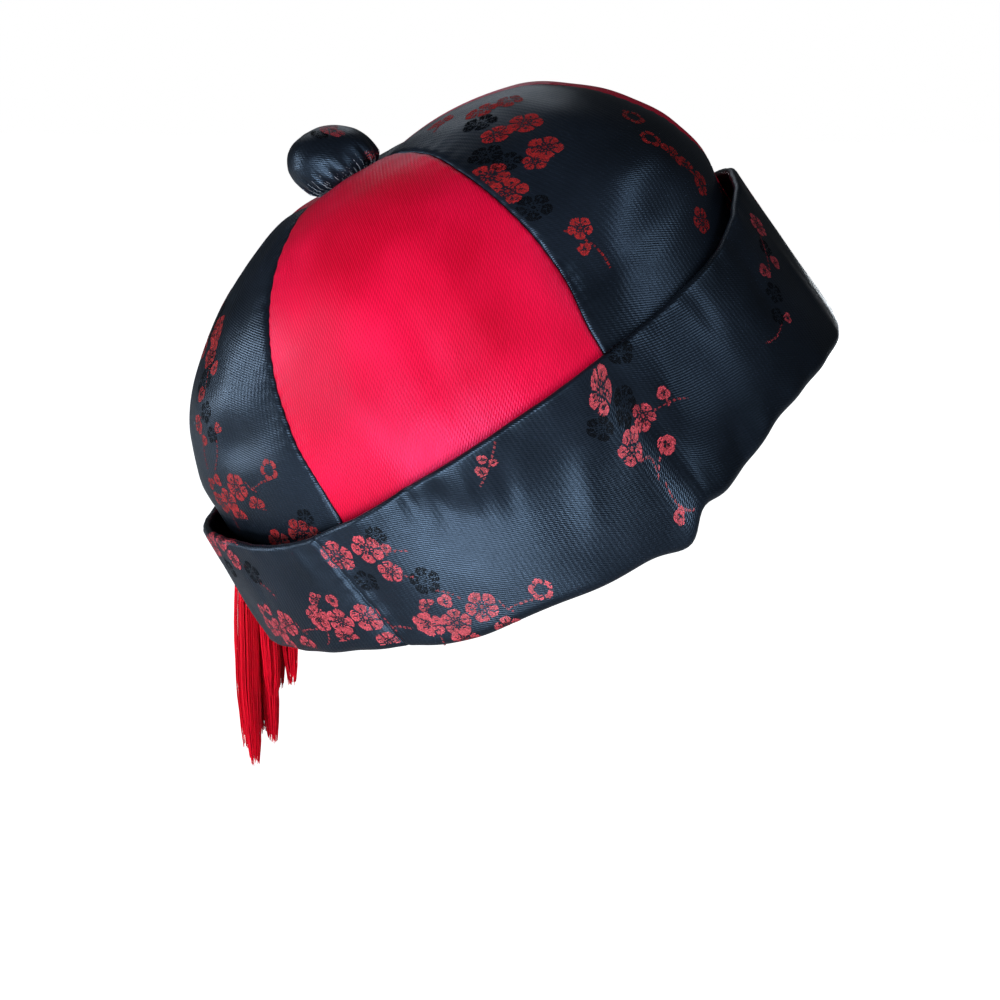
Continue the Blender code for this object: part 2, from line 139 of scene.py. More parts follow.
# Soft folds: angle, way up, half spread in degrees, half spread in way, depth (inward negative)
CUFF_FOLDS = (
    (-6, 0.92, 5, 0.20, -0.30), (-1, 0.66, 7, 0.22, -0.55), (13, 0.62, 10, 0.30, -0.75),
    (-22, 0.45, 3, 0.60, -0.25), (-40, 0.30, 12, 0.40, 0.35), (30, 0.20, 12, 0.35, 0.40), (29, 0.00, 7, 0.22, 0.45),
    (40, 0.05, 5, 0.25, -0.30), (56, 0.45, 14, 0.50, 0.45), (74, 0.05, 11, 0.35, 0.35), (-74, 0.30, 13, 0.50, 0.35),
    (112, 0.40, 16, 0.50, -0.22), (150, 0.25, 14, 0.40, 0.35), (195, 0.55, 13, 0.40, -0.45),
    (236, 0.15, 12, 0.35, 0.30),
)
CROWN_FOLDS = (
    (36, 0.26, 4, 0.09, -0.45), (52, 0.24, 12, 0.07, -0.45), (60, 0.36, 12, 0.06, 0.35), (6, 0.30, 3, 0.20, -0.16),
    (16, 0.34, 3, 0.22, 0.14), (-8, 0.24, 4, 0.18, 0.14), (-40, 0.33, 8, 0.06, -0.35), (-52, 0.45, 14, 0.07, 0.30),
    (-78, 0.30, 12, 0.06, -0.40), (118, 0.27, 12, 0.07, -0.45), (160, 0.30, 10, 0.08, -0.35),
    (200, 0.42, 14, 0.09, 0.30), (248, 0.28, 12, 0.07, -0.45),
)

# Narrow creases in the cuff, in the same columns, with their lean in degrees from foot to top
CUFF_CREASES = (
    (-7.0, 0.98, 1.1, 0.14, -0.55, 2), (-3.0, 0.84, 1.4, 0.12, -0.45, 4), (1.5, 0.80, 1.2, 0.16, 0.28, 5),
    (7.0, 0.72, 1.8, 0.20, -0.30, 8), (17.0, 0.50, 2.2, 0.22, 0.26, 12), (24.0, 0.72, 1.6, 0.20, -0.22, 6),
    (31.0, 0.12, 1.6, 0.16, 0.30, 4), (36.0, 0.62, 2.0, 0.25, 0.20, 9), (41.0, 0.16, 1.5, 0.18, -0.32, 5),
    (49.0, 0.82, 1.6, 0.14, -0.25, 3), (63.0, 0.66, 2.0, 0.25, -0.22, 7), (78.0, 0.40, 2.0, 0.30, 0.25, 5),
    (-31.0, 0.80, 1.5, 0.18, 0.20, -3), (-48.0, 0.66, 1.8, 0.22, -0.25, -4), (-63.0, 0.78, 1.5, 0.16, 0.22, -3),
    (-84.0, 0.55, 2.0, 0.25, -0.25, 2), (104.0, 0.75, 1.8, 0.20, -0.25, 4), (128.0, 0.42, 2.0, 0.26, 0.24, -5),
    (171.0, 0.70, 1.8, 0.20, -0.26, 4), (214.0, 0.40, 2.0, 0.24, 0.22, -6), (247.0, 0.74, 1.6, 0.18, -0.24, 5),
)

# Button profile: reach and height as shares of its half width and height
BUTTON_PROFILE = (
    (0.66, 0.000), (0.68, 0.025), (0.66, 0.065), (0.72, 0.110), (0.90, 0.200), (0.98, 0.330), (1.00, 0.480),
    (0.95, 0.640), (0.80, 0.790), (0.58, 0.910), (0.30, 0.980), (0.00, 1.000),
)

# Tassel locks: angle, reach at the tip, length and thickness as shares; and their sections
TASSEL_LOCKS = (
    (90, 0.80, 0.96, 0.36), (40, 0.60, 0.92, 0.38), (140, 0.62, 1.00, 0.38), (0, 0.05, 0.94, 0.40),
    (-35, 0.48, 0.72, 0.38), (-90, 0.86, 0.68, 0.36), (-145, 0.55, 0.71, 0.38),
)
LOCK_SECTIONS = (
    (0.00, 0.00, 0.80), (0.14, 0.45, 1.00), (0.40, 0.85, 1.08), (0.75, 0.97, 0.95), (0.93, 1.00, 0.62),
    (1.00, 1.00, 0.22),
)
TASSEL_HEAD = (
    (0.00, 1.00), (0.62, 0.93), (0.96, 0.66), (1.00, 0.45), (0.80, 0.16), (0.66, 0.06), (0.80, -0.08),
    (0.96, -0.30), (0.70, -0.55), (0.00, -0.62),
)

# Sprays of the brocade, charted in millimetres from the spray's own middle:
# form, across, along, half size (or the twig's end across and end along), turn or bow
SPRAYS = {
    "corner": (
        (BLOSSOM, -1.0, 4.0, 4.8, 12), (BLOSSOM, 9.3, 5.3, 4.5, 30), (BLOSSOM, 11.9, -2.2, 3.4, 4),
        (DARK, 2.6, -4.6, 3.6, 20), (DARK, 19.2, -7.2, 4.2, 8), (DARK, 14.0, 8.6, 3.0, 40),
        (BUD, 14.6, 4.6, 1.5, 0), (TWIG, 13.4, 2.6, (19.8, 2.0), 0.8), (TWIG, 14.0, -3.2, (17.4, -5.2), -0.4),
        (TWIG, 20.4, -10.6, (25.4, -15.6), 0.6),
    ),
    "row": (
        (BLOSSOM, -7.2, 1.2, 3.9, 18), (BLOSSOM, 0.0, 0.0, 4.2, 2), (BLOSSOM, 8.6, 1.6, 4.5, 25),
        (HALF, -0.6, -5.8, 4.0, 0), (HALF, -4.6, 6.4, 2.8, -35), (BUD, 0.6, 6.8, 2.1, 40),
        (TWIG, -6.6, -3.0, (-9.2, -8.4), 0.7), (TWIG, 13.6, 1.4, (15.4, -3.0), -0.5),
        (TWIG, 15.0, -1.6, (23.0, -2.4), 0.2), (OPEN, 24.6, -0.4, 3.2, 10), (HALF, 11.6, -6.6, 3.6, 6),
    ),
    "arch": (
        (DARK, 10.4, 10.6, 3.9, 0), (BLOSSOM, 0.5, 8.6, 4.6, 15), (DARK, -5.0, 3.0, 3.6, 40),
        (DARK, 3.4, -0.6, 4.2, 22), (BLOSSOM, -1.4, -6.4, 4.0, 5), (BLOSSOM, 5.8, -7.2, 3.5, 33),
        (TWIG, 8.8, -7.6, (18.4, -10.0), 1.4), (BUD, 13.6, -4.6, 1.9, 70), (TWIG, 13.4, -6.2, (12.8, -8.6), 0.0),
        (TWIG, -1.6, -10.2, (-0.4, -17.4), 2.2), (TWIG, -0.4, -17.4, (6.2, -17.8), 0.9), (BUD, 6.4, -16.6, 2.7, 20),
        (TWIG, 0.6, -20.0, (2.6, -32.0), -1.6), (BUD, -1.4, -27.6, 2.0, 10),
    ),
    "fall": (
        (BLOSSOM, 12.6, 11.4, 4.0, 5), (DARK, 6.6, 5.6, 3.0, 20), (BUD, 6.2, 0.8, 2.3, 0),
        (BUD, -2.6, 1.6, 2.4, 50), (DARK, -5.6, -4.4, 3.3, 0), (DARK, -10.8, -9.4, 2.6, 30),
        (BUD, -7.8, -11.8, 1.7, 30), (TWIG, 8.6, 9.0, (-2.0, -0.6), 0.8), (TWIG, -11.6, -11.6, (-21.6, -11.8), 1.0),
    ),
    "sprig": (
        (TWIG, 5.0, 4.4, (-5.2, -5.6), 0.5), (BUD, -0.6, 1.2, 1.4, 0), (BUD, -2.6, -1.8, 1.7, 0),
        (BUD, 1.4, -0.8, 1.2, 0),
    ),
    "knot": (
        (BLOSSOM, 0.0, 0.0, 3.0, 10), (BLOSSOM, 4.6, 2.2, 2.6, 30), (DARK, -4.4, 1.6, 2.6, 0),
        (BUD, 1.8, -4.0, 1.5, 0),
    ),
    "crown": (
        (BLOSSOM, 14.4, 15.4, 3.9, 0), (BLOSSOM, 9.2, 20.4, 4.2, 20), (BLOSSOM, 5.6, 3.6, 4.5, 8),
        (BLOSSOM, -0.8, 6.8, 3.8, 30), (BLOSSOM, -0.6, -7.4, 4.5, 12), (BLOSSOM, -5.6, -9.0, 3.2, 40),
        (DARK, 3.0, 15.2, 4.2, 15), (DARK, -8.4, 3.2, 4.0, 0), (DARK, -8.8, -3.4, 3.6, 25),
        (BLOSSOM, -14.6, -3.4, 4.8, 5), (BLOSSOM, -16.6, -11.0, 4.6, 30), (DARK, -17.4, -19.6, 4.4, 10),
        (BLOSSOM, -14.4, -32.0, 3.1, 14), (TWIG, -17.6, -30.0, (-15.0, -45.4), 1.2), (BUD, -17.2, -37.0, 1.8, 0),
        (TWIG, 8.6, 35.0, (2.0, 29.0), 0.9), (BLOSSOM, 8.4, 33.0, 3.4, 0), (OPEN, 28.2, -17.4, 3.7, 0),
        (OPEN, 22.0, -25.6, 3.4, 30), (HALF, 22.6, -33.0, 4.2, 80), (HALF, 25.2, -38.6, 3.6, 60),
        (BLOSSOM, 28.0, -45.0, 3.6, 0), (BLOSSOM, 20.2, -52.4, 3.8, 20),
    ),
}

# Where the sprays lie: spray, place across and along in millimetres, turn in degrees, flip
CUFF_PLACES = (
    ("corner", 0.0, 28.0, 0, 1), ("row", 20.4, 7.0, 0, 1), ("row", -12.6, 11.8, -6, 1),
    ("corner", -60.0, 34.0, 4, 1), ("row", -44.0, 9.0, 8, 1), ("sprig", 51.6, 43.4, 0, 1),
    ("arch", 86.0, 36.0, 0, 1), ("fall", 155.0, 30.2, 0, 1), ("sprig", 186.0, 47.0, 20, 1),
    ("row", 206.0, 8.0, 0, 1), ("corner", 222.0, 34.0, 5, 1), ("arch", 268.0, 33.0, 0, 1),
    ("row", 306.0, 8.0, 4, 1), ("corner", 322.0, 31.0, 0, 1), ("fall", 366.0, 24.0, 0, 1),
    ("row", 402.0, 9.0, 0, 1), ("arch", 430.0, 33.0, 0, 1), ("corner", 470.0, 30.0, -4, 1),
    ("row", 498.0, 8.0, 0, 1),
)
BUTTON_PLACES = (
    ("knot", -27.5, 22.5, 0, 1), ("knot", -24.5, 12.5, 60, 1), ("knot", 8.0, 15.0, 90, 1),
)
GORE_PLACES = {
    "gore_front_right": (
        ("crown", -14.0, 88.0, 0, 1), ("sprig", 30.0, 30.0, 40, 1), ("row", 4.0, 10.0, 0, 1),
        ("sprig", 20.0, 98.0, 90, 1),
    ),
    "gore_back_right": (
        ("row", 10.0, 40.0, 12, 1), ("corner", 24.0, 20.0, 0, 1), ("fall", 10.0, 74.0, 60, 1),
        ("crown", -10.0, 96.0, 0, -1), ("arch", -28.0, 30.0, 0, 1),
    ),
    "gore_left": (
        ("crown", 12.0, 92.0, 0, -1), ("row", -18.0, 34.0, 0, 1), ("arch", 22.0, 40.0, 0, 1),
        ("fall", -24.0, 66.0, 30, 1),
    ),
}


# --------------------------------------------------------------------------- reading tables


def read_column(rows: tuple, column: int, share: ndarray) -> ndarray:
    """Read one table column at shares of the way, with no overshoot.

    Args:
        rows: Table rows.
        column: Index of the column.
        share: Places from 0 to 1.

    Returns:
        The column's values at those places.
    """
    values = np.array([row[column] for row in rows], float)
    last = len(values) - 1
    place = np.clip(share, 0.0, 1.0) * last
    i = np.minimum(place.astype(int), last - 1)
    t = place - i
    steps = np.diff(values)
    before, after = steps[:-1], steps[1:]
    both = before * after
    slopes = np.zeros(last + 1)
    slopes[0], slopes[-1] = steps[0], steps[-1]
    slopes[1:-1] = np.where(both > 0, 2 * both / np.where(before + after == 0, 1, before + after), 0.0)
    rise = t * t * (3 - 2 * t)
    return values[i] + steps[i] * rise + slopes[i] * t * (1 - t) ** 2 + slopes[i + 1] * t * t * (t - 1)


def read_ring(rows: tuple, column: int, angle: ndarray) -> ndarray:
    """Read one table column at angles, smooth all the way round.

    Args:
        rows: Table rows, evenly spaced from -180 degrees.
        column: Index of the column.
        angle: Angles in radians.

    Returns:
        The column's values at those angles.
    """
    values = np.array([row[column] for row in rows], float)
    place = (np.degrees(angle) + 180.0) / 360.0 * len(values)
    i = np.floor(place).astype(int)
    t = place - i
    a, b, c, d = (values[(i + k) % len(values)] for k in (-1, 0, 1, 2))
    return b + 0.5 * t * (c - a + t * (2 * a - 5 * b + 4 * c - d + t * (3 * (b - c) + d - a)))


def read_folds(rows: tuple, angle: ndarray, way: ndarray) -> ndarray:
    """Add up the folds of a table at places on the cloth.

    Args:
        rows: Angle, way, spread in degrees, spread in way, depth and, if given, lean in degrees.
        angle: Angles in radians.
        way: Ways up, from 0 to 1.

    Returns:
        The folds' depth there, as a share of their full depth.
    """
    total = np.zeros(np.broadcast(angle, way).shape)
    for middle, height, spread, rise, depth, *lean in rows:
        skew = (lean[0] if lean else 0.0) * (way - height)
        turn = degrees_off(angle, middle + skew)
        total = total + depth * np.exp(-((turn / spread) ** 2) - ((way - height) / rise) ** 2)
    return total


def ripple(across: ndarray, along: ndarray, length: float, seed: int) -> ndarray:
    """Gentle unevenness of cloth, the same at each run.

    Args:
        across: Places across, in the unit of length.
        along: Places along, in the unit of length.
        length: Usual length of a ripple.
        seed: Fixed seed of its phases.

    Returns:
        Values from about -1 to 1.
    """
    rng = np.random.default_rng(seed)
    total = np.zeros(np.broadcast(across, along).shape)
    for _ in range(7):
        way = rng.uniform(0, math.tau)
        pace = math.tau / (length * rng.uniform(0.6, 1.7))
        total = total + np.sin(pace * (across * math.cos(way) + along * math.sin(way)) + rng.uniform(0, math.tau))
    return total / 4.0


def unit(vectors: ndarray) -> ndarray:
    """Vectors of length one in the same directions."""
    return vectors / np.maximum(np.linalg.norm(vectors, axis=-1, keepdims=True), 1e-12)


def lengths(points: ndarray) -> ndarray:
    """Millimetres from the first point on, along the first axis."""
    steps = np.linalg.norm(np.diff(points, axis=0), axis=-1)
    return np.concatenate([np.zeros_like(steps[:1]), np.cumsum(steps, 0)]) / MM


def bell(off: ndarray, half: float) -> ndarray:
    """One in the middle, falling smoothly away past a half width."""
    return np.exp(-((off / half) ** 2))


def about(radius: ndarray, turn: ndarray, height: ndarray) -> ndarray:
    """Points about an upright axis."""
    return np.stack(np.broadcast_arrays(radius * np.cos(turn), radius * np.sin(turn), height), -1)


def degrees_off(angle: ndarray, middle: float) -> ndarray:
    """Degrees from a middle to angles in radians, the short way round."""
    return (np.degrees(angle) - middle + 180.0) % 360.0 - 180.0


@dataclass(frozen=True)
class Lean:
    """How the cap sits on its wearer, in degrees."""

    back: float = 32.4
    right: float = 6.3

    def world(self, points: ndarray) -> ndarray:
        """Turn points or directions of the cap's frame to the model's frame.

        Args:
            points: Array whose last axis is x, y, z.

        Returns:
            The same points in the model's frame.
        """
        b, r = math.radians(-self.back), math.radians(-self.right)
        about_x = np.array([[1, 0, 0], [0, math.cos(b), -math.sin(b)], [0, math.sin(b), math.cos(b)]])
        about_y = np.array([[math.cos(r), 0, math.sin(r)], [0, 1, 0], [-math.sin(r), 0, math.cos(r)]])
        return points @ (about_x @ about_y).T


LEAN = Lean()


# --------------------------------------------------------------------------- mesh helpers


def add_object(name: str, data: bpy.types.ID) -> Object:
    """Put data in the scene as an object at the origin."""
    thing = bpy.data.objects.new(name, data)
    bpy.context.scene.collection.objects.link(thing)
    return thing


def grid_object(name: str, points: ndarray, chart: ndarray, closed: bool = False) -> Object:
    """Make a smooth cloth surface of rows and columns.

    Args:
        name: Name of the piece.
        points: Rows by columns by 3, in the model's frame, faces outward by the right hand.
        chart: Rows by columns by 2, the cloth's own millimetres. A closed grid has one column
            more in its chart than in its points.
        closed: Whether the last column joins the first.

    Returns:
        The new object, at the origin.
    """
    rows, columns = points.shape[:2]
    wide = columns if closed else columns - 1
    r, c = np.meshgrid(np.arange(rows - 1), np.arange(wide), indexing="ij")
    nxt = (c + 1) % columns
    quads = np.stack([r * columns + c, r * columns + nxt, (r + 1) * columns + nxt, (r + 1) * columns + c], -1)
    mesh = bpy.data.meshes.new(name)
    mesh.from_pydata(points.reshape(-1, 3).tolist(), [], quads.reshape(-1, 4).tolist())
    corners = np.stack([chart[r, c], chart[r, c + 1], chart[r + 1, c + 1], chart[r + 1, c]], -2) / CHART_UNIT
    mesh.uv_layers.new(name=CLOTH_UV).data.foreach_set("uv", corners.reshape(-1).astype(np.float32))
    mesh.shade_smooth()
    return add_object(name, mesh)


def close_ends(thing: Object, rows: int, columns: int) -> None:
    """Close the first and last ring of a round grid.

    Args:
        thing: The piece.
        rows: How many rings it has.
        columns: How many points each ring has.
    """
    work = bmesh.new()
    work.from_mesh(thing.data)
    work.verts.ensure_lookup_table()
    first = [work.verts[k] for k in range(columns)][::-1]
    last = [work.verts[(rows - 1) * columns + k] for k in range(columns)]
    for ring in (first, last):
        work.faces.new(ring).smooth = True
    work.to_mesh(thing.data)
    work.free()


def add_wall(thing: Object, wall: float) -> None:
    """Give an open surface its cloth thickness, on its inner side.

    Args:
        thing: The piece.
        wall: Thickness in metres.
    """
    solid = thing.modifiers.new("cloth", "SOLIDIFY")
    solid.thickness = wall
    solid.offset = -1.0


def dress(thing: Object, finishes: list, nodes: tuple = ()) -> Object:
    """Give a piece its materials, its body and the nodes that it stands for.

    Args:
        thing: The piece.
        finishes: Materials, in the order of the piece's slots.
        nodes: CAD nodes that it replaces.

    Returns:
        The piece.
    """
    thing.data.materials.clear()
    for material in finishes:
        thing.data.materials.append(material)
    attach(thing, BODY)
    if nodes:
        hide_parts(*nodes)
    log.info("%s: %d faces", thing.name, len(thing.data.polygons))
    return thing


# --------------------------------------------------------------------------- finishes


class NodeKit:
    """Short ways to lay nodes in one tree."""

    def __init__(self, tree: NodeTree) -> None:
        """Keep the tree that the nodes go to."""
        self.tree = tree

    def set(self, node: bpy.types.Node, inputs: dict) -> None:
        """Link or set a node's inputs.

        Args:
            node: The node.
            inputs: Output socket or plain value, by the input's name or number.
        """
        for key, value in inputs.items():
            if isinstance(value, NodeSocket):
                self.tree.links.new(value, node.inputs[key])
            else:
                node.inputs[key].default_value = value

    def add(self, kind: str, inputs: dict | None = None, **settings: object) -> bpy.types.Node:
        """Add one node.

        Args:
            kind: Node type name.
            inputs: As set takes them.
            settings: Properties of the node.

        Returns:
            The node.
        """
        node = self.tree.nodes.new(kind)
        for key, value in settings.items():
            setattr(node, key, value)
        self.set(node, inputs or {})
        return node

    def math(self, operation: str, first: object, second: object = 0.0, clamp: bool = False) -> NodeSocket:
        """Result of a Math node, from 0 to 1 if clamped."""
        return self.add("ShaderNodeMath", {0: first, 1: second}, operation=operation, use_clamp=clamp).outputs[0]

    def times(self, first: object, second: object) -> NodeSocket:
        """Product of two values."""
        return self.math("MULTIPLY", first, second)

    def noise(self, vector: object, scale: object, detail: float = 2.0) -> NodeSocket:
        """Value of a noise texture."""
        return self.add("ShaderNodeTexNoise", {"Vector": vector, "Scale": scale, "Detail": detail}).outputs["Fac"]

    def mix(self, share: object, first: object, second: object) -> NodeSocket:
        """Mix of two colours, by the share of the second."""
        return self.add("ShaderNodeMix", {0: share, 6: first, 7: second}, data_type="RGBA").outputs[2]

    def span(self, value: object, low: float, high: float, to_low: float = 0.0, to_high: float = 1.0) -> NodeSocket:
        """Value mapped from one range to another and held at its ends."""
        return self.add("ShaderNodeMapRange", dict(enumerate((value, low, high, to_low, to_high)))).outputs[0]

    def place(self) -> NodeSocket:
        """Object coordinates in centimetres."""
        metres = self.add("ShaderNodeTexCoord").outputs["Object"]
        return self.add("ShaderNodeVectorMath", {0: metres, "Scale": 100.0}, operation="SCALE").outputs[0]

    def group(self, tree: NodeTree, **values: object) -> bpy.types.NodeOutputs:
        """Outputs of a shader group with its own values, by input name."""
        return self.add("ShaderNodeGroup", node_tree=tree, inputs=values).outputs


def new_group(name: str, inputs: dict, outputs: tuple) -> tuple:
    """Start a shader group.

    Args:
        name: Name of the group.
        inputs: Default value by name, None for a vector.
        outputs: Names of its output values.

    Returns:
        Its tree, its kit, its input sockets and its output node.
    """
    tree = bpy.data.node_groups.new(name, "ShaderNodeTree")
    for label, value in inputs.items():
        kind = "NodeSocketVector" if value is None else "NodeSocketFloat"
        socket = tree.interface.new_socket(name=label, in_out="INPUT", socket_type=kind)
        if value is not None:
            socket.default_value = value
    for label in outputs:
        tree.interface.new_socket(name=label, in_out="OUTPUT", socket_type="NodeSocketFloat")
    kit = NodeKit(tree)
    return tree, kit, kit.add("NodeGroupInput").outputs, kit.add("NodeGroupOutput")


def make_weave_group() -> NodeTree:
    """Satin weave: fine slanted lines broken into single floats.

    Returns:
        The group, with a Height and a Float Mask.
    """
    line_height, pick_height, pick_pace = 0.30, 0.20, 0.9 * math.tau
    line_stray, pick_stray, slub_scale = 3.0, 9.0, 9.0
    inputs = {"Vector": None, "Lines": 17.0, "Slope": 0.6, "Unevenness": 0.5}
    tree, kit, given, out = new_group("satin weave", inputs, ("Height", "Float Mask"))
    across, along, _ = kit.add("ShaderNodeSeparateXYZ", {0: given["Vector"]}).outputs
    slub = kit.times(kit.noise(given["Vector"], slub_scale, 3.0), given["Unevenness"])
    slant = kit.math("ADD", across, kit.times(along, given["Slope"]))
    turn = kit.times(kit.times(slant, given["Lines"]), math.tau)
    line = kit.math("SINE", kit.math("ADD", turn, kit.times(slub, line_stray)))
    cross = kit.times(kit.times(across, given["Lines"]), pick_pace)
    pick = kit.math("SINE", kit.math("ADD", cross, kit.times(slub, pick_stray)))
    height = kit.math("ADD", kit.times(line, line_height), kit.times(pick, pick_height))
    raised = kit.math("ADD", height, 0.5, clamp=True)
    kit.set(out, {"Height": raised, "Float Mask": raised})
    return tree


def make_handling_group() -> NodeTree:
    """Handled cloth: broad tone changes, small rubs and a little lint.

    Returns:
        The group, with a Tone, a Rub and a Lint Mask.
    """
    rub_scale, lint_scale = 5.0, 24.0
    inputs = {"Vector": None, "Breadth": 0.5, "Lint": 0.5}
    tree, kit, given, out = new_group("handled cloth", inputs, ("Tone", "Rub", "Lint Mask"))
    tone = kit.noise(given["Vector"], given["Breadth"])
    rub = kit.noise(given["Vector"], kit.times(given["Breadth"], rub_scale), 3.0)
    speck = kit.span(kit.noise(given["Vector"], lint_scale, 1.0), 0.76, 0.82)
    lint = kit.times(speck, given["Lint"])
    kit.set(out, {"Tone": kit.span(tone, 0.34, 0.66), "Rub": kit.span(rub, 0.42, 0.70), "Lint Mask": lint})
    return tree


@dataclass
class Workshop:
    """The shared shader groups, each built once."""

    weave: NodeTree = field(default_factory=make_weave_group)
    handling: NodeTree = field(default_factory=make_handling_group)


def start_material(name: str) -> tuple:
    """A new material with its kit and its Principled shader."""
    material = bpy.data.materials.new(name)
    material.use_nodes = True
    return material, NodeKit(material.node_tree), material.node_tree.nodes["Principled BSDF"]


@dataclass(frozen=True)
class WovenFinish:
    """Satin cloth with its weave, gloss and handling."""

    name: str
    dark: tuple
    light: tuple
    lint_colour: tuple
    rough: float
    rough_spread: float
    gloss_tint: tuple
    level: float
    lines: float
    slope: float
    bump: float
    breadth: float
    lint: float
    weave_share: float = 0.55
    tone_share: float = 0.45
    float_gloss: float = 0.08
    relief: float = 0.0002

    def make(self, shop: Workshop) -> Material:
        """Build the material.

        Args:
            shop: Holder of the shared groups.

        Returns:
            The material.
        """
        material, kit, shader = start_material(self.name)
        chart = kit.add("ShaderNodeUVMap", uv_map=CLOTH_UV).outputs[0]
        weave = kit.group(shop.weave, Vector=chart, Lines=self.lines, Slope=self.slope)
        worn = kit.group(shop.handling, Vector=kit.place(), Breadth=self.breadth, Lint=self.lint)
        share = kit.times(weave["Float Mask"], self.weave_share)
        share = kit.math("ADD", share, kit.times(worn["Tone"], self.tone_share), clamp=True)
        colour = kit.mix(share, (*self.dark, 1.0), (*self.light, 1.0))
        rough = kit.math("ADD", kit.times(worn["Rub"], self.rough_spread), self.rough)
        bump = {"Strength": self.bump, "Distance": self.relief, "Height": weave["Height"]}
        kit.set(shader, {
            "Base Color": kit.mix(worn["Lint Mask"], colour, (*self.lint_colour, 1.0)),
            "Roughness": kit.math("SUBTRACT", rough, kit.times(weave["Float Mask"], self.float_gloss)),
            "Normal": kit.add("ShaderNodeBump", bump).outputs[0],
            "Specular IOR Level": self.level,
            "Specular Tint": (*self.gloss_tint, 1.0),
        })
        return material


@dataclass(frozen=True)
class ThreadFinish:
    """Silky thread, whose strands differ a little in colour."""

    name: str
    dark: tuple
    light: tuple
    rough: float = 0.42
    level: float = 0.4
    grain: float = 30.0
    strand_share: float = 0.7
    fibre_share: float = 0.3
    rough_spread: float = 0.1
    breadth: float = 1.4
    bump: float = 0.3
    relief: float = 0.0001

    def make(self, shop: Workshop) -> Material:
        """Build the material.

        Args:
            shop: Holder of the shared groups.

        Returns:
            The material.
        """
        material, kit, shader = start_material(self.name)
        place = kit.place()
        strand = kit.add("ShaderNodeAttribute", attribute_name=SHADE).outputs["Fac"]
        fibre = kit.noise(place, self.grain)
        worn = kit.group(shop.handling, Vector=place, Breadth=self.breadth, Lint=0.0)
        share = kit.math("ADD", kit.times(strand, self.strand_share), kit.times(fibre, self.fibre_share), clamp=True)
        bump = {"Strength": self.bump, "Distance": self.relief, "Height": fibre}
        kit.set(shader, {
            "Base Color": kit.mix(share, (*self.dark, 1.0), (*self.light, 1.0)),
            "Roughness": kit.math("ADD", kit.times(worn["Rub"], self.rough_spread), self.rough),
            "Normal": kit.add("ShaderNodeBump", bump).outputs[0],
            "Specular IOR Level": self.level,
        })
        return material


BROCADE = WovenFinish(
    name="black brocade ground",
    dark=(0.0015, 0.002, 0.003), light=(0.010, 0.014, 0.022), lint_colour=(0.10, 0.11, 0.13),
    rough=0.36, rough_spread=0.05, gloss_tint=(0.48, 0.70, 1.0),
    level=0.42, lines=8.4, slope=1.7, bump=0.30, breadth=0.35, lint=0.35,
)
RED_SATIN = WovenFinish(
    name="crimson satin",
    dark=(0.42, 0.001, 0.008), light=(0.92, 0.006, 0.060), lint_colour=(0.95, 0.10, 0.14),
    rough=0.40, rough_spread=0.06, gloss_tint=(1.0, 0.30, 0.80),
    level=0.28, lines=11.5, slope=-0.9, bump=0.40, breadth=0.30, lint=0.15,
)
RED_FLOATS = ThreadFinish("red brocade floats", (0.10, 0.002, 0.004), (0.80, 0.085, 0.115))
# Painted shade: a darker copy of the red floats' thread for the crown, standing in for the same thread seen at a
# grazing angle.
SHADED_RED_FLOATS = ThreadFinish("red brocade floats in painted shade", (0.10, 0.001, 0.002), (0.72, 0.030, 0.030), level=0.35)
BLACK_FLOATS = ThreadFinish(
    "black brocade floats", (0.0003, 0.0003, 0.0005), (0.004, 0.005, 0.007), rough=0.50, level=0.06,
)
TASSEL_THREAD = ThreadFinish(
    "crimson tassel thread", (0.50, 0.0005, 0.006), (1.0, 0.003, 0.030), level=0.14, grain=22.0,
)
# Pale grey thread for the button's foot: partly real frayed ends, partly painted highlight standing in for glints on
# the gathers' ridges.
FRAY_AND_PAINTED_HIGHLIGHT = ThreadFinish("frayed ends and painted highlight thread", (0.06, 0.07, 0.09), (0.62, 0.66, 0.74), rough=0.50)


# --------------------------------------------------------------------------- crown


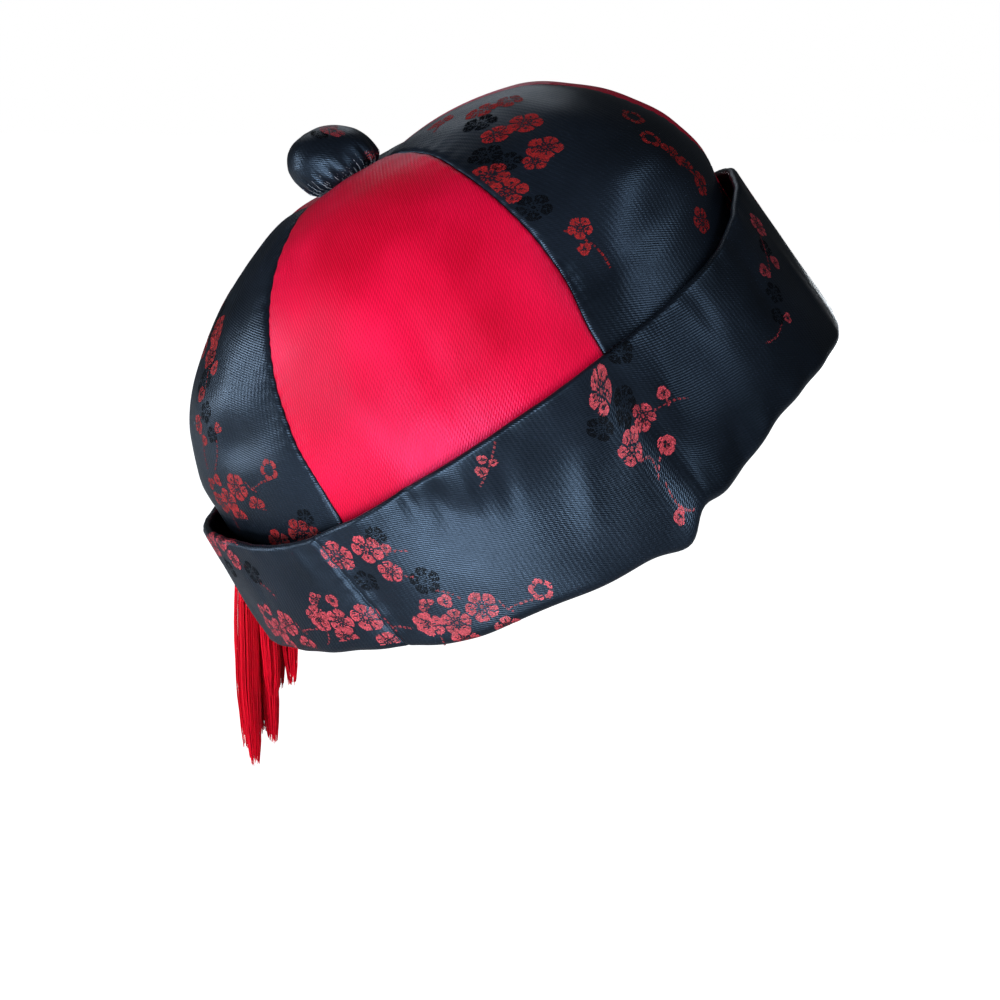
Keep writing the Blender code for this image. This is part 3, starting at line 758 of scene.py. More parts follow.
@dataclass
class Crown:
    """Crown of six gores, each a sewn panel with its edges turned in."""

    half_width: float = 0.083
    half_length: float = 0.095
    height: float = 0.0945
    shift: float = 0.0053
    tip: float = math.radians(2.6)
    hole: float = 0.004
    dent: float = 0.004
    puff: float = 0.0022
    wall: float = 0.0009
    seam_round: float = 1.5
    seam_depth: float = 0.75
    seam_gap: float = 0.05
    allowance: tuple = (1.2, 3.0)
    inner_columns: int = 44
    rows: int = 96
    stations: int = 25
    mm_round: float = 90.0
    mm_long: float = 155.0
    wave: tuple = (26.0, 0.22, 31)
    pucker: tuple = (5.2, 0.16, 7)
    pucker_reach: float = 4.0
    edge_zone: tuple = (3.0, 0.28)
    edge_steps: tuple = (0.0, 0.05, 0.12, 0.22, 0.36, 0.54, 0.76)

    def base(self, angle: ndarray, way: ndarray) -> ndarray:
        """Smooth form of the crown.

        Args:
            angle: Angles in radians.
            way: Ways up from 0 to 1.

        Returns:
            Points in the cap's frame.
        """
        rise = read_column(CROWN_SECTIONS, 0, way)
        side = self.hole + (self.half_width - self.hole) * read_column(CROWN_SECTIONS, 1, way)
        front = self.hole + (self.half_length - self.hole) * read_column(CROWN_SECTIONS, 2, way)
        back = self.hole + (self.half_length - self.hole) * read_column(CROWN_SECTIONS, 3, way)
        forward = 0.5 + 0.5 * np.sin(angle)
        x = -side * np.cos(angle)
        y = -(front * forward + back * (1 - forward)) * np.sin(angle)
        tip = self.tip * rise**2
        return np.stack([x * np.cos(tip) + self.shift * rise, y, self.height * rise - x * np.sin(tip)], -1)

    def outward(self, angle: ndarray, way: ndarray) -> ndarray:
        """Outward direction of the smooth form.

        Args:
            angle: Angles in radians.
            way: Ways up from 0 to 1.

        Returns:
            Unit vectors in the cap's frame.
        """
        step = 0.01
        low = np.clip(way - step, 0.0, 0.975)
        held = np.minimum(way, 0.985)
        around = self.base(angle + step, held) - self.base(angle - step, held)
        return unit(np.cross(around, self.base(angle, low + 2 * step) - self.base(angle, low)))

    def seam_angles(self, k: int, way: ndarray) -> tuple:
        """Angles of a gore's two seams.

        Args:
            k: Number of the gore.
            way: Ways up from 0 to 1.

        Returns:
            Its first and second seam's angles in radians.
        """
        turn = 360 if k + 1 == len(SEAMS) else 0
        a, b = SEAMS[k], SEAMS[(k + 1) % len(SEAMS)]
        start = np.radians(a[0] + (a[1] - a[0]) * way)
        end = np.radians(b[0] + turn + (b[1] - b[0]) * way)
        return start, end

    def width(self, k: int, way: ndarray) -> ndarray:
        """Width of a gore in millimetres.

        Args:
            k: Number of the gore.
            way: Ways up from 0 to 1.

        Returns:
            The widths there.
        """
        start, end = self.seam_angles(k, way)
        shares = np.linspace(0, 1, self.stations)
        angle = start[..., None] + (end - start)[..., None] * shares
        points = self.base(angle, np.repeat(way[..., None], self.stations, -1))
        return np.linalg.norm(np.diff(points, axis=-2), axis=-1).sum(-1) / MM

    def skin(self, k: int, across: ndarray, way: ndarray) -> ndarray:
        """Outer face of a gore.

        Args:
            k: Number of the gore.
            across: Places from 0 to 1 between its seams.
            way: Ways up from 0 to 1.

        Returns:
            Points in the cap's frame.
        """
        start, end = self.seam_angles(k, way)
        angle = start + (end - start) * across
        bulge = np.sin(math.pi * np.clip(across, 0, 1)) ** 0.75 - 0.65
        fade = np.sin(math.pi * np.clip(way, 0, 1)) ** 0.8
        swell = self.puff * bulge * fade + self.dent * read_folds(CROWN_FOLDS, angle, way)
        span = self.width(k, way[:, :1])
        side = np.minimum(across, 1 - across) * span
        mm_up = way * self.mm_long
        length, depth, seed = self.wave
        swell += MM * depth * ripple(angle * self.mm_round, mm_up, length, seed + k) * fade
        pitch, depth, seed = self.pucker
        pull = np.exp(-((side / self.pucker_reach) ** 1.5)) * fade
        stray = 3.0 * ripple(angle * 4, mm_up, 30.0, seed + k)
        swell += MM * depth * pull * np.sin(mm_up * math.tau / pitch + stray)
        near = np.clip(side / np.minimum(self.seam_round, 0.3 * span), 0, 1)
        swell -= MM * self.seam_depth * (1 - np.sqrt(np.clip(1 - (1 - near) ** 2, 0, 1)))
        return self.base(angle, way) + self.outward(angle, way) * swell[..., None]

    def columns(self, k: int, way: ndarray) -> ndarray:
        """Places of a gore's columns at each row, close together by its seams.

        Args:
            k: Number of the gore.
            way: The rows' ways up.

        Returns:
            Rows by columns, places from 0 to 1.
        """
        span = self.width(k, way)[:, None]
        zone = np.minimum(self.edge_zone[0], self.edge_zone[1] * span)
        edge = np.array(self.edge_steps) * zone
        edge = (edge + self.seam_gap) / (span + 2 * self.seam_gap)
        inner = np.linspace(0, 1, self.inner_columns)
        first = (zone + self.seam_gap) / (span + 2 * self.seam_gap)
        return np.concatenate([edge, first + (1 - 2 * first) * inner, 1 - edge[:, ::-1]], 1)

    def spine(self, k: int, way: ndarray) -> ndarray:
        """Points of a gore's middle line."""
        return self.skin(k, np.full((len(way), 1), 0.5), way[:, None])[:, 0]

    def gore(self, k: int) -> Object:
        """Build one gore with its turned in edges.

        Args:
            k: Number of the gore.

        Returns:
            The piece.
        """
        way = np.linspace(0, 1, self.rows)
        across = self.columns(k, way)
        ways = np.repeat(way[:, None], across.shape[1], 1)
        face = self.skin(k, across, ways)
        start, end = self.seam_angles(k, ways)
        out = self.outward(start + (end - start) * across, ways)
        wide = (across - 0.5) * self.width(k, way)[:, None]
        inward = [face[:, :1] - out[:, :1] * d * MM for d in reversed(self.allowance)]
        outward = [face[:, -1:] - out[:, -1:] * d * MM for d in self.allowance]
        points = np.concatenate([*inward, face, *outward], 1)
        left = [wide[:, :1] - d for d in reversed(self.allowance)]
        right = [wide[:, -1:] + d for d in self.allowance]
        wide = np.concatenate([*left, wide, *right], 1)
        along = lengths(self.spine(k, way))
        chart = np.stack([wide, np.repeat(along[:, None], wide.shape[1], 1)], -1)
        thing = grid_object(GORES[k][0] + "_cloth", LEAN.world(points), chart)
        add_wall(thing, self.wall)
        return thing

    def flat_area(self, k: int) -> tuple:
        """Size of the cloth that a gore is cut from.

        Args:
            k: Number of the gore.

        Returns:
            Width and length of its rectangle in metres, and its own area in square metres.
        """
        way = np.linspace(0, 1, self.rows)
        wide = (self.width(k, way) + 2 * max(self.allowance)) * MM
        steps = np.linalg.norm(np.diff(self.spine(k, way), axis=0), axis=1)
        return wide.max(), steps.sum(), float((0.5 * (wide[1:] + wide[:-1]) * steps).sum())

    def make(self, finishes: dict) -> None:
        """Build and dress the six gores.

        Args:
            finishes: Material by slot.
        """
        for k, (node, slot) in enumerate(GORES):
            thing = dress(self.gore(k), [finishes[slot]], (node,))
            wide, long, area = self.flat_area(k)


class Panel:
    """A face as a chart in millimetres, across or round it and up."""

    def inside(self, u: ndarray, v: ndarray) -> ndarray:
        """Whether chart points are on the face.

        Args:
            u: Millimetres across.
            v: Millimetres up.

        Returns:
            True where they are.
        """
        raise NotImplementedError

    def place(self, u: ndarray, v: ndarray) -> ndarray:
        """Points of the face.

        Args:
            u: Millimetres across.
            v: Millimetres up.

        Returns:
            Points in the cap's frame.
        """
        raise NotImplementedError


@dataclass
class GorePanel(Panel):
    """A gore's face as a chart, across from its middle line and up from its foot."""

    crown: Crown
    number: int
    margin: float = 1.1
    foot_margin: float = 1.0
    top_margin: float = 8.0
    samples: int = 400

    def __post_init__(self) -> None:
        """Measure the middle line."""
        self.ways = np.linspace(0, 1, self.samples)
        self.along = lengths(self.crown.spine(self.number, self.ways))

    def share(self, u: ndarray, v: ndarray) -> tuple:
        """Places of chart points on the gore.

        Args:
            u: Millimetres across.
            v: Millimetres up.

        Returns:
            Across from 0 to 1, way from 0 to 1, and width in millimetres.
        """
        way = np.interp(v, self.along, self.ways)
        span = self.crown.width(self.number, way)
        return 0.5 + u / span, way, span

    def inside(self, u: ndarray, v: ndarray) -> ndarray:
        """As Panel says, clear of the seams, the foot and the button."""
        across, _, span = self.share(u, v)
        clear = np.minimum(across, 1 - across) * span > self.margin
        return clear & (v > self.foot_margin) & (v < self.along[-1] - self.top_margin)

    def place(self, u: ndarray, v: ndarray) -> ndarray:
        """As Panel says."""
        across, way, _ = self.share(u, v)
        flat = self.crown.skin(self.number, across.reshape(-1, 1), way.reshape(-1, 1))
        return flat.reshape(*u.shape, 3)


# --------------------------------------------------------------------------- cuff


@dataclass
class Cuff:
    """Turned up band: one ply folded at its foot, with a rolled top edge and two seams."""

    half_width: float = 0.088
    half_length: float = 0.100
    depth: float = 0.048
    flare: float = 0.0036
    wave: float = 0.004
    wall: float = 0.0009
    lap: float = 0.005
    fold_radius: float = 0.0032
    roll_radius: float = 0.0013
    lap_inset: float = 0.0039
    seams: tuple = ((-23.9, 2.1), (156.0, -1.5))
    seam_depth: float = 0.48
    seam_half: float = 0.50
    seam_sides: tuple = (0.10, 1.7, 1.2)
    slant_reach: float = 7.0
    steps: int = 470
    close_steps: tuple = (-1.1, -0.75, -0.5, -0.33, -0.18, 0.0, 0.18, 0.33, 0.5, 0.75, 1.1)
    face_rows: int = 27
    chart_row: int = 20
    turn_step: int = 15
    radius_mm: float = 94.0
    crease: float = 0.0016
    waves: tuple = ((0.16, 21.0, 3), (0.34, 11.0, 5), (0.40, 17.0, 8))
    rim_reach: float = 0.10
    foot_reach: float = 0.12
    tug: tuple = (0.16, 5.0, 6.3, 20.0, 9)

    def heights(self, angle: ndarray) -> tuple:
        """Top and bottom of the band at angles.

        Args:
            angle: Angles in radians.

        Returns:
            Top and bottom heights above the crown's foot.
        """
        top, bottom = (self.depth * read_ring(CUFF_EDGES, column, angle) for column in (0, 1))
        for middle, spread, rise in CUFF_DIPS:
            bottom = bottom + self.depth * rise * bell(degrees_off(angle, middle), spread)
        return top, bottom

    def point(self, angle: ndarray, inset: ndarray, height: ndarray) -> ndarray:
        """Points of the band, a distance in from its outer face.

        Args:
            angle: Angles in radians.
            inset: Distances in from the outer face.
            height: Heights above the crown's foot.

        Returns:
            Points in the cap's frame.
        """
        top, bottom = self.heights(angle)
        way = (height - bottom) / (top - bottom)
        wide = self.half_width + self.flare * (0.5 - way)
        long = self.half_length + self.flare * (0.5 - way)
        out = unit(np.stack([-np.cos(angle) / wide, -np.sin(angle) / long, 0 * wide], -1))
        edge = np.stack([-wide * np.cos(angle), -long * np.sin(angle), height], -1)
        return edge + out * (self.bulge(angle, way) - inset)[..., None]

    def seam_off(self, seam: tuple, angle: ndarray, way: ndarray) -> ndarray:
        """Millimetres round the band from one of its slanted seams.

        Args:
            seam: Angle and slant of the seam in degrees.
            angle: Angles in radians.
            way: Ways up from 0 to 1.

        Returns:
            The distances.
        """
        middle, slant = seam
        line = np.radians(middle - slant * (2 * way - 1))
        return ((angle - line + math.pi) % math.tau - math.pi) * self.radius_mm

    def bulge(self, angle: ndarray, way: ndarray) -> ndarray:
        """How far folds, creases, puckers and the seams move the cloth outward.

        Args:
            angle: Angles in radians.
            way: Ways up from 0 to 1.

        Returns:
            Distances in metres.
        """
        mm_round, mm_up = angle * self.radius_mm, way * self.depth / MM
        move = self.wave * read_folds(CUFF_FOLDS, angle, way)
        move += self.crease * read_folds(CUFF_CREASES, angle, way)
        near_rim, near_foot = bell(1 - way, self.rim_reach), bell(way, self.foot_reach)
        for (deep, length, seed), share, up in zip(self.waves, (1.0, near_rim, near_foot), (0.8, 0.0, 0.0)):
            move += MM * deep * share * ripple(mm_round, mm_up * up, length, seed)
        side_height, side_place, side_half = self.seam_sides
        deep, reach, pitch, length, seed = self.tug
        for seam in self.seams:
            off = self.seam_off(seam, angle, way)
            move -= MM * self.seam_depth * np.exp(-((np.abs(off) / self.seam_half) ** 1.4))
            stray = 2.0 * ripple(mm_up, mm_up, length, seed)
            move += MM * deep * bell(off, reach) * np.sin(mm_up * math.tau / pitch + stray)
            move += MM * side_height * bell(np.abs(off) - side_place, side_half)
        return move

    def lap_point(self, crown: Crown, angle: ndarray, height: float) -> ndarray:
        """Points of the ply where it laps inside the crown's foot.

        Args:
            crown: The crown.
            angle: Angles in radians.
            height: Height above the crown's foot.

        Returns:
            Points in the cap's frame.
        """
        foot = crown.base(angle, np.zeros_like(angle))
        above = crown.base(angle, np.full_like(angle, 0.05))
        lean = (above - foot) / (above - foot)[..., 2:3]
        out = unit(foot * np.array([1.0, 1.0, 0.0]))
        return foot + lean * height - out * self.lap_inset

    def outer_rows(self) -> list:
        """Where the rows of the visible face lie.

        Returns:
            Part (fold, face or roll), inset, and rise in metres or share of the face of each row.
        """
        rows = []
        for turn in range(self.turn_step, 180, self.turn_step):
            t = math.radians(turn)
            rows.append(("fold", self.fold_radius * (1 + math.cos(t)), -self.fold_radius * math.sin(t)))
        rows += [("face", 0.0, share) for share in np.linspace(0, 1, self.face_rows)]
        for turn in range(self.turn_step, 196, self.turn_step):
            t = math.radians(turn)
            rows.append(("roll", self.roll_radius * (1 - math.cos(t)), self.roll_radius * math.sin(t)))
        rows.append(("roll", 2 * self.roll_radius, -0.0035))
        return rows

    def angles(self) -> ndarray:
        """Angles of the columns, close together at the seams."""
        even = np.linspace(-180, 180, self.steps, endpoint=False)
        near = [m + d for m, _ in self.seams for d in self.close_steps]
        far = [a for a in even if min(abs((a - m + 180) % 360 - 180) for m, _ in self.seams) > 0.95]
        return np.radians(np.unique(np.round(far + near, 4)))

    def make(self, crown: Crown, finish: Material) -> Object:
        """Build and dress the cuff.

        Args:
            crown: The crown that it is sewn to.
            finish: Its material.

        Returns:
            The piece.
        """
        plain = self.angles()
        top, bottom = self.heights(plain)
        fold, roll = bottom + self.fold_radius, top - self.roll_radius
        sewn = self.lap_point(crown, plain, -0.3 * self.lap)
        start = self.point(plain, np.full_like(plain, 2 * self.fold_radius), fold)
        rows = [self.lap_point(crown, plain, self.lap), 0.5 * (self.lap_point(crown, plain, self.lap) + sewn)]
        rows += [sewn + (start - sewn) * share for share in (0.0, 0.25, 0.5, 0.75, 1.0)]
        for kind, inset, value in self.outer_rows():
            height = {"fold": fold + value, "face": fold + (roll - fold) * value, "roll": roll + value}[kind]
            angle = plain.copy()
            way = (height - bottom) / (top - bottom)
            for middle, slant in self.seams:
                near = bell(degrees_off(plain, middle), self.slant_reach)
                angle -= np.radians(slant * (2 * way - 1)) * near
            rows.append(self.point(angle, np.full_like(plain, inset), height))
        points = np.stack(rows)
        closed = np.concatenate([points, points[:, :1]], 1)
        up, around = lengths(closed), lengths(closed[self.chart_row])
        chart = np.stack([np.repeat(around[None], len(points), 0), up], -1)
        thing = grid_object("cuff_cloth", LEAN.world(points), chart, closed=True)
        add_wall(thing, self.wall)
        dress(thing, [finish], ("cuff",))
        return thing


@dataclass
class CuffPanel(Panel):
    """The cuff's face as a chart, round from its near seam and up from its fold."""

    cuff: Cuff
    start_degrees: float = -23.0
    samples: int = 3000
    seam_margin: float = 0.35
    fold_reach: float = 1.5
    roll_reach: float = 0.0022
    full_turn: float = 2.8

    def __post_init__(self) -> None:
        """Measure the band round its outer face."""
        self.turns = np.linspace(-math.pi, math.pi, self.samples)
        speed = np.hypot(self.cuff.half_width * np.sin(self.turns), self.cuff.half_length * np.cos(self.turns))
        steps = 0.5 * (speed[1:] + speed[:-1]) * np.diff(self.turns)
        self.round = np.concatenate([[0], np.cumsum(steps)]) / MM
        self.length = self.round[-1]
        self.start = np.interp(math.radians(self.start_degrees), self.turns, self.round)

    def angle(self, u: ndarray) -> ndarray:
        """Angles of chart points."""
        return np.interp((u + self.start) % self.length, self.round, self.turns)

    def inside(self, u: ndarray, v: ndarray) -> ndarray:
        """As Panel says, with part of the fold and the roll, and clear of the seams."""
        angle = self.angle(u)
        top, bottom = self.cuff.heights(angle)
        way = v * MM / (top - bottom)
        clear = np.ones(u.shape, bool)
        for seam in self.cuff.seams:
            clear &= np.abs(self.cuff.seam_off(seam, angle, way)) > self.seam_margin
        return clear & (v > -self.fold_reach) & (v * MM < top - bottom + self.roll_reach)

    def place(self, u: ndarray, v: ndarray) -> ndarray:
        """As Panel says; the face goes on round the fold and the roll."""
        angle = self.angle(u)
        top, bottom = self.cuff.heights(angle)
        fold, roll = self.cuff.fold_radius, self.cuff.roll_radius
        height = bottom + v * MM
        low = np.clip((fold - v * MM) / fold, 0, self.full_turn)
        high = np.clip((height - (top - roll)) / roll, 0, self.full_turn)
        inset = fold * (1 - np.cos(low)) + roll * (1 - np.cos(high))
        height = np.where(low > 0, bottom + fold - fold * np.sin(low), height)
        height = np.where(high > 0, top - roll + roll * np.sin(high), height)
        return self.cuff.point(angle, inset, height)


# --------------------------------------------------------------------------- button


@dataclass
class Button:
    """Covered button, gathered at its foot."""

    width: float = 0.0256
    height: float = 0.0207
    slump: float = 0.0050
    gather: float = 0.0010
    gathers: int = 15
    gather_top: float = 0.55
    frays: int = 260
    stem: float = 0.0034
    stem_drop: float = 0.0036
    seat: float = 0.0018
    lip: float = 0.0004
    columns: int = 144
    rows: int = 64
    wave: tuple = (0.22, 17.0, 41)
    flat: tuple = (0.00028, 2.2, 0.35)
    fray_path: tuple = (0.0, 0.16, 0.20, 0.26, 0.30, 0.2)

    def point(self, angle: ndarray, share: ndarray) -> ndarray:
        """Points of the covered face.

        Args:
            angle: Angles about the button's own axis in radians.
            share: Way along its profile from its foot to its top.

        Returns:
            Points in the button's frame.
        """
        reach = read_column(BUTTON_PROFILE, 0, share)
        rise = read_column(BUTTON_PROFILE, 1, share)
        fade = np.clip(1 - rise / self.gather_top, 0, 1) ** 1.3
        turn = angle * self.gathers + 1.1 * np.sin(2 * angle + 0.6) + 0.7 * np.sin(3 * angle)
        crease = 1 - np.abs(np.sin(0.5 * turn)) * 2.0
        radius = 0.5 * self.width * reach + self.gather * fade * (-crease) * np.minimum(reach * 3, 1)
        (deep, length, seed), (flat, middle, half) = self.wave, self.flat
        radius += MM * deep * ripple(angle * 8, share * 30, length, seed) * np.sin(math.pi * share)
        off = (angle - middle + math.pi) % math.tau - math.pi
        radius = radius - flat * bell(off, half) * np.sin(math.pi * share)
        return np.stack([
            radius * np.cos(angle),
            radius * np.sin(angle) + self.slump * rise,
            self.seat + self.height * rise,
        ], -1)

    def to_cap(self, crown: Crown, points: ndarray) -> ndarray:
        """Set points of the button's frame on the crown's apex.

        Args:
            crown: The crown.
            points: Points in the button's frame.

        Returns:
            Points in the cap's frame.
        """
        c, s = math.cos(crown.tip), math.sin(crown.tip)
        turn = np.array([[c, 0, s], [0, 1, 0], [-s, 0, c]])
        apex = crown.base(np.array(0.0), np.array(1.0)) + np.array([crown.hole, 0, 0])
        return points @ turn.T + apex

    def make(self, crown: Crown, finish: Material) -> Object:
        """Build and dress the button.

        Args:
            crown: The crown that it sits on.
            finish: Its material.

        Returns:
            The piece.
        """
        angle = np.linspace(0, math.tau, self.columns, endpoint=False)
        share = np.linspace(0, 0.995, self.rows)
        a, s = np.meshgrid(angle, share)
        rows = self.point(a, s)
        foot = rows[0] * np.array([1, 1, 0])
        stem, lift = unit(foot) * self.stem, np.array([0, 0, self.seat - self.lip])
        low = np.array([0, 0, self.stem_drop])
        points = np.concatenate([np.stack([stem + 0.2 * lift - low, stem + 0.2 * lift, 0.75 * (foot + lift)]), rows])
        up = lengths(points[:, 0])
        around = np.linspace(0, math.pi * self.width / MM, self.columns + 1)
        chart = np.stack([np.repeat(around[None], len(points), 0), np.repeat(up[:, None], len(around), 1)], -1)
        thing = grid_object("button_cloth", LEAN.world(self.to_cap(crown, points)), chart, closed=True)
        close_ends(thing, len(points), self.columns)
        dress(thing, [finish], ("button",))
        return thing

    def fray(self, crown: Crown, maker: "ThreadMaker", finish: Material) -> None:
        """Lay the loose thread ends of the gathered foot: pale threads that are partly real fraying and partly painted
        highlight on the gathers' ridges.

        Args:
            crown: The crown that the button sits on.
            maker: Maker of threads.
            finish: Thread material.
        """
        rng = np.random.default_rng(17)
        paths = []
        for angle in rng.uniform(0, math.tau, self.frays):
            share = np.linspace(rng.uniform(0.10, 0.50), 0.0, len(self.fray_path))
            turn = angle + rng.normal(0, 0.05) * np.linspace(0, 1, len(self.fray_path))
            face = self.point(turn, share)
            out = about(1.0, turn, 0.0)
            path = face + out * (np.array(self.fray_path) * rng.uniform(0.6, 1.8))[:, None] * MM
            path[-1, 2] -= rng.uniform(0.2, 1.2) * MM
            paths.append(LEAN.world(self.to_cap(crown, path)))
        sizes = {"Thread Radius": 0.00006, "Sides": 4, "Wander": 0.0004, "Wander Scale": 300.0, "Seed": 8}
        thing = maker.make("button_frays_and_painted_highlights", paths, finish, sizes)
        dress(thing, [finish])


@dataclass
class ButtonPanel(Panel):
    """The button's face as a chart, round it and up from its foot."""

    button: Button
    crown: Crown
    radius: float = 12.8
    length: float = 30.0
    low: float = 2.5
    high: float = 26.5

    def inside(self, u: ndarray, v: ndarray) -> ndarray:
        """As Panel says."""
        return (v > self.low) & (v < self.high)

    def place(self, u: ndarray, v: ndarray) -> ndarray:
        """As Panel says."""
        share = np.clip(v / self.length, 0, 1)
        return self.button.to_cap(self.crown, self.button.point(u / self.radius, share))


# --------------------------------------------------------------------------- brocade floats


def blossom_mask(x: ndarray, y: ndarray, size: float, turn: float, kind: Motif) -> ndarray:
    """Where a five petalled blossom's threads come up.

    Args:
        x: Millimetres across from its middle.
        y: Millimetres along from its middle.
        size: Its half size in millimetres.
        turn: Its turn in degrees.
        kind: Its form.

    Returns:
        True where the threads show.
    """
    r = np.hypot(x, y) / size
    a = np.arctan2(y, x) - math.radians(turn)
    lobe = 0.5 + 0.5 * np.cos(5 * a)
    if kind == BUD:
        return (r < 0.66 + 0.34 * np.abs(np.cos(1.5 * a)) ** 0.5) & ((r > 0.34) | (np.cos(3 * a) > 0.2))
    rim = 0.80 + 0.20 * lobe**0.4
    petal = (r < rim) & ~((lobe < 0.05) & (r > 0.36))
    stamen = (np.cos(10 * a) > 0.1) & (r > 0.22)
    heart = (r < 0.42) & ~stamen & (r > 0.13)
    midrib = (lobe > 0.97) & (r > 0.50) & (r < 0.72)
    shown = petal & ~heart & ~midrib
    if kind == OPEN:
        shown = petal & (r > 0.56 * rim)
    if kind == HALF:
        shown &= x * math.sin(math.radians(turn)) + y * math.cos(math.radians(turn)) > -0.15 * size
    return shown


def twig_mask(x: ndarray, y: ndarray, end: tuple, bow: float, half: float) -> ndarray:
    """Where a twig's threads come up.

    Args:
        x: Millimetres across from its start.
        y: Millimetres along from its start.
        end: Its end from its start.
        bow: How far its middle bows out.
        half: Its half width.

    Returns:
        True where the threads show.
    """
    long = math.hypot(*end)
    ux, uy = end[0] / long, end[1] / long
    s = x * ux + y * uy
    t = -x * uy + y * ux - 4 * bow * (s / long) * (1 - s / long)
    return (np.abs(t) < half) & (s > 0) & (s < long) & (np.sin(s * math.tau / 1.4) > -0.55)


@dataclass
class FloatWeaver:
    """Lays the brocade's extra threads on a panel, pick by pick."""

    pick: float = 0.36
    longest: float = 1.0
    half: float = 0.15
    proud: float = 0.085
    edge: float = 0.015
    missing: float = 0.05
    sample: float = 0.1
    twig_half: float = 0.30
    twig_room: float = 2.5
    tones: tuple = (0.42, 0.72)
    twig_tones: tuple = (0.40, 0.60)
    shortest: float = 0.12
    gap: float = 0.03
    spread: tuple = (-0.44, 0.30)
    probe: float = 0.2

    def motifs(self, places: tuple) -> list:
        """Turn sprays to their places on a panel.

        Args:
            places: Spray, place across and along, turn in degrees and flip of each.

        Returns:
            Form, place, size or end, and turn or bow of each motif.
        """
        placed = []
        for name, x, y, turn, flip in places:
            c, s = math.cos(math.radians(turn)), math.sin(math.radians(turn))
            for kind, across, along, size, bend in SPRAYS[name]:
                across *= flip
                where = (x + c * across - s * along, y + s * across + c * along)
                if kind == TWIG:
                    ex, ey = size[0] * flip, size[1]
                    end = (x + c * ex - s * ey - where[0], y + s * ex + c * ey - where[1])
                    placed.append((kind, where, end, bend * flip))
                else:
                    placed.append((kind, where, size, bend * flip + turn))
        return placed

    def runs(self, motifs: list, panel: Panel, seed: int) -> tuple:
        """Cut the motifs into single floats.

        Args:
            motifs: Motifs on the panel.
            panel: The panel.
            seed: Fixed seed of the floats' stagger.

        Returns:
            Floats as start, end and place along; whether each is dark; and its shade.
        """
        rng = np.random.default_rng(seed)
        floats, dark, shade = [], [], []
        for kind, (x, y), size, bend in motifs:
            twig = kind == TWIG
            if twig:
                low_x, high_x = min(0, size[0]) - self.twig_room, max(0, size[0]) + self.twig_room
                low_y, high_y = min(0, size[1]) - self.twig_room, max(0, size[1]) + self.twig_room
            else:
                low_x = low_y = -size * 1.05
                high_x = high_y = size * 1.05
            lines = np.arange(math.ceil((y + low_y) / self.pick), (y + high_y) / self.pick) * self.pick
            places = np.arange(x + low_x, x + high_x, self.sample)
            gx, gy = np.meshgrid(places, lines)
            if twig:
                shown = twig_mask(gx - x, gy - y, size, bend, self.twig_half)
            else:
                shown = blossom_mask(gx - x, gy - y, size, bend, kind)
            shown &= panel.inside(gx, gy)
            tone = rng.uniform(*(self.twig_tones if twig else self.tones))
            for row, line in zip(shown, lines):
                ends = np.flatnonzero(np.diff(np.concatenate([[0], row.astype(int), [0]])))
                for a, b in ends.reshape(-1, 2):
                    start, stop = places[a], places[min(b, len(places) - 1)]
                    first = start + self.longest * rng.uniform(0.3, 1.0)
                    cuts = [start, *np.arange(first, stop - 0.2, self.longest), stop]
                    for p, q in zip(cuts, cuts[1:]):
                        if q - p > self.shortest and rng.uniform() > self.missing:
                            reach = 0.0 if twig else math.hypot(0.5 * (p + q) - x, line - y) / size
                            floats.append((p + self.gap, q - self.gap - rng.uniform(0, self.shortest), line))
                            dark.append(kind == DARK)
                            shade.append(tone + 0.5 * (reach - 0.6) + rng.uniform(*self.spread))
        return np.array(floats), np.array(dark), np.array(shade)

    def make(self, name: str, panel: Panel, places: tuple, finishes: list, seed: int, tone: float) -> None:
        """Lay the floats of one panel as one piece.

        Args:
            name: Name of the piece.
            panel: The panel.
            places: Where its sprays lie.
            finishes: Red and black thread materials.
            seed: Fixed seed.
            tone: Factor on the red threads' lightness; below one it is painted shade, the same thread made darker on
                that panel.
        """
        floats, dark, shade = self.runs(self.motifs(places), panel, seed)
        ends = floats[:, [0, 1]][:, :, None]
        side = np.array([-self.half, 0.0, self.half])
        u = ends + 0 * side
        v = floats[:, 2][:, None, None] + side + 0 * ends
        face = panel.place(u, v)
        out = unit(np.cross(panel.place(u + self.probe, v) - face, panel.place(u, v + self.probe) - face))
        lift = np.array([self.edge, self.proud, self.edge]) * MM
        points = LEAN.world(face + out * lift[:, None])
        first = np.arange(len(floats))[:, None, None] * 6
        quad = np.array([[0, 3, 4, 1], [1, 4, 5, 2]])
        mesh = bpy.data.meshes.new(name)
        mesh.from_pydata(points.reshape(-1, 3).tolist(), [], (first + quad).reshape(-1, 4).tolist())
        value = mesh.attributes.new(SHADE, "FLOAT", "POINT")
        value.data.foreach_set("value", np.repeat(np.clip(shade * tone, 0, 1), 6).astype(np.float32))
        mesh.shade_smooth()
        dress(add_object(name, mesh), finishes)
        mesh.polygons.foreach_set("material_index", np.repeat(dark.astype(np.int32), 2))


# --------------------------------------------------------------------------- threads


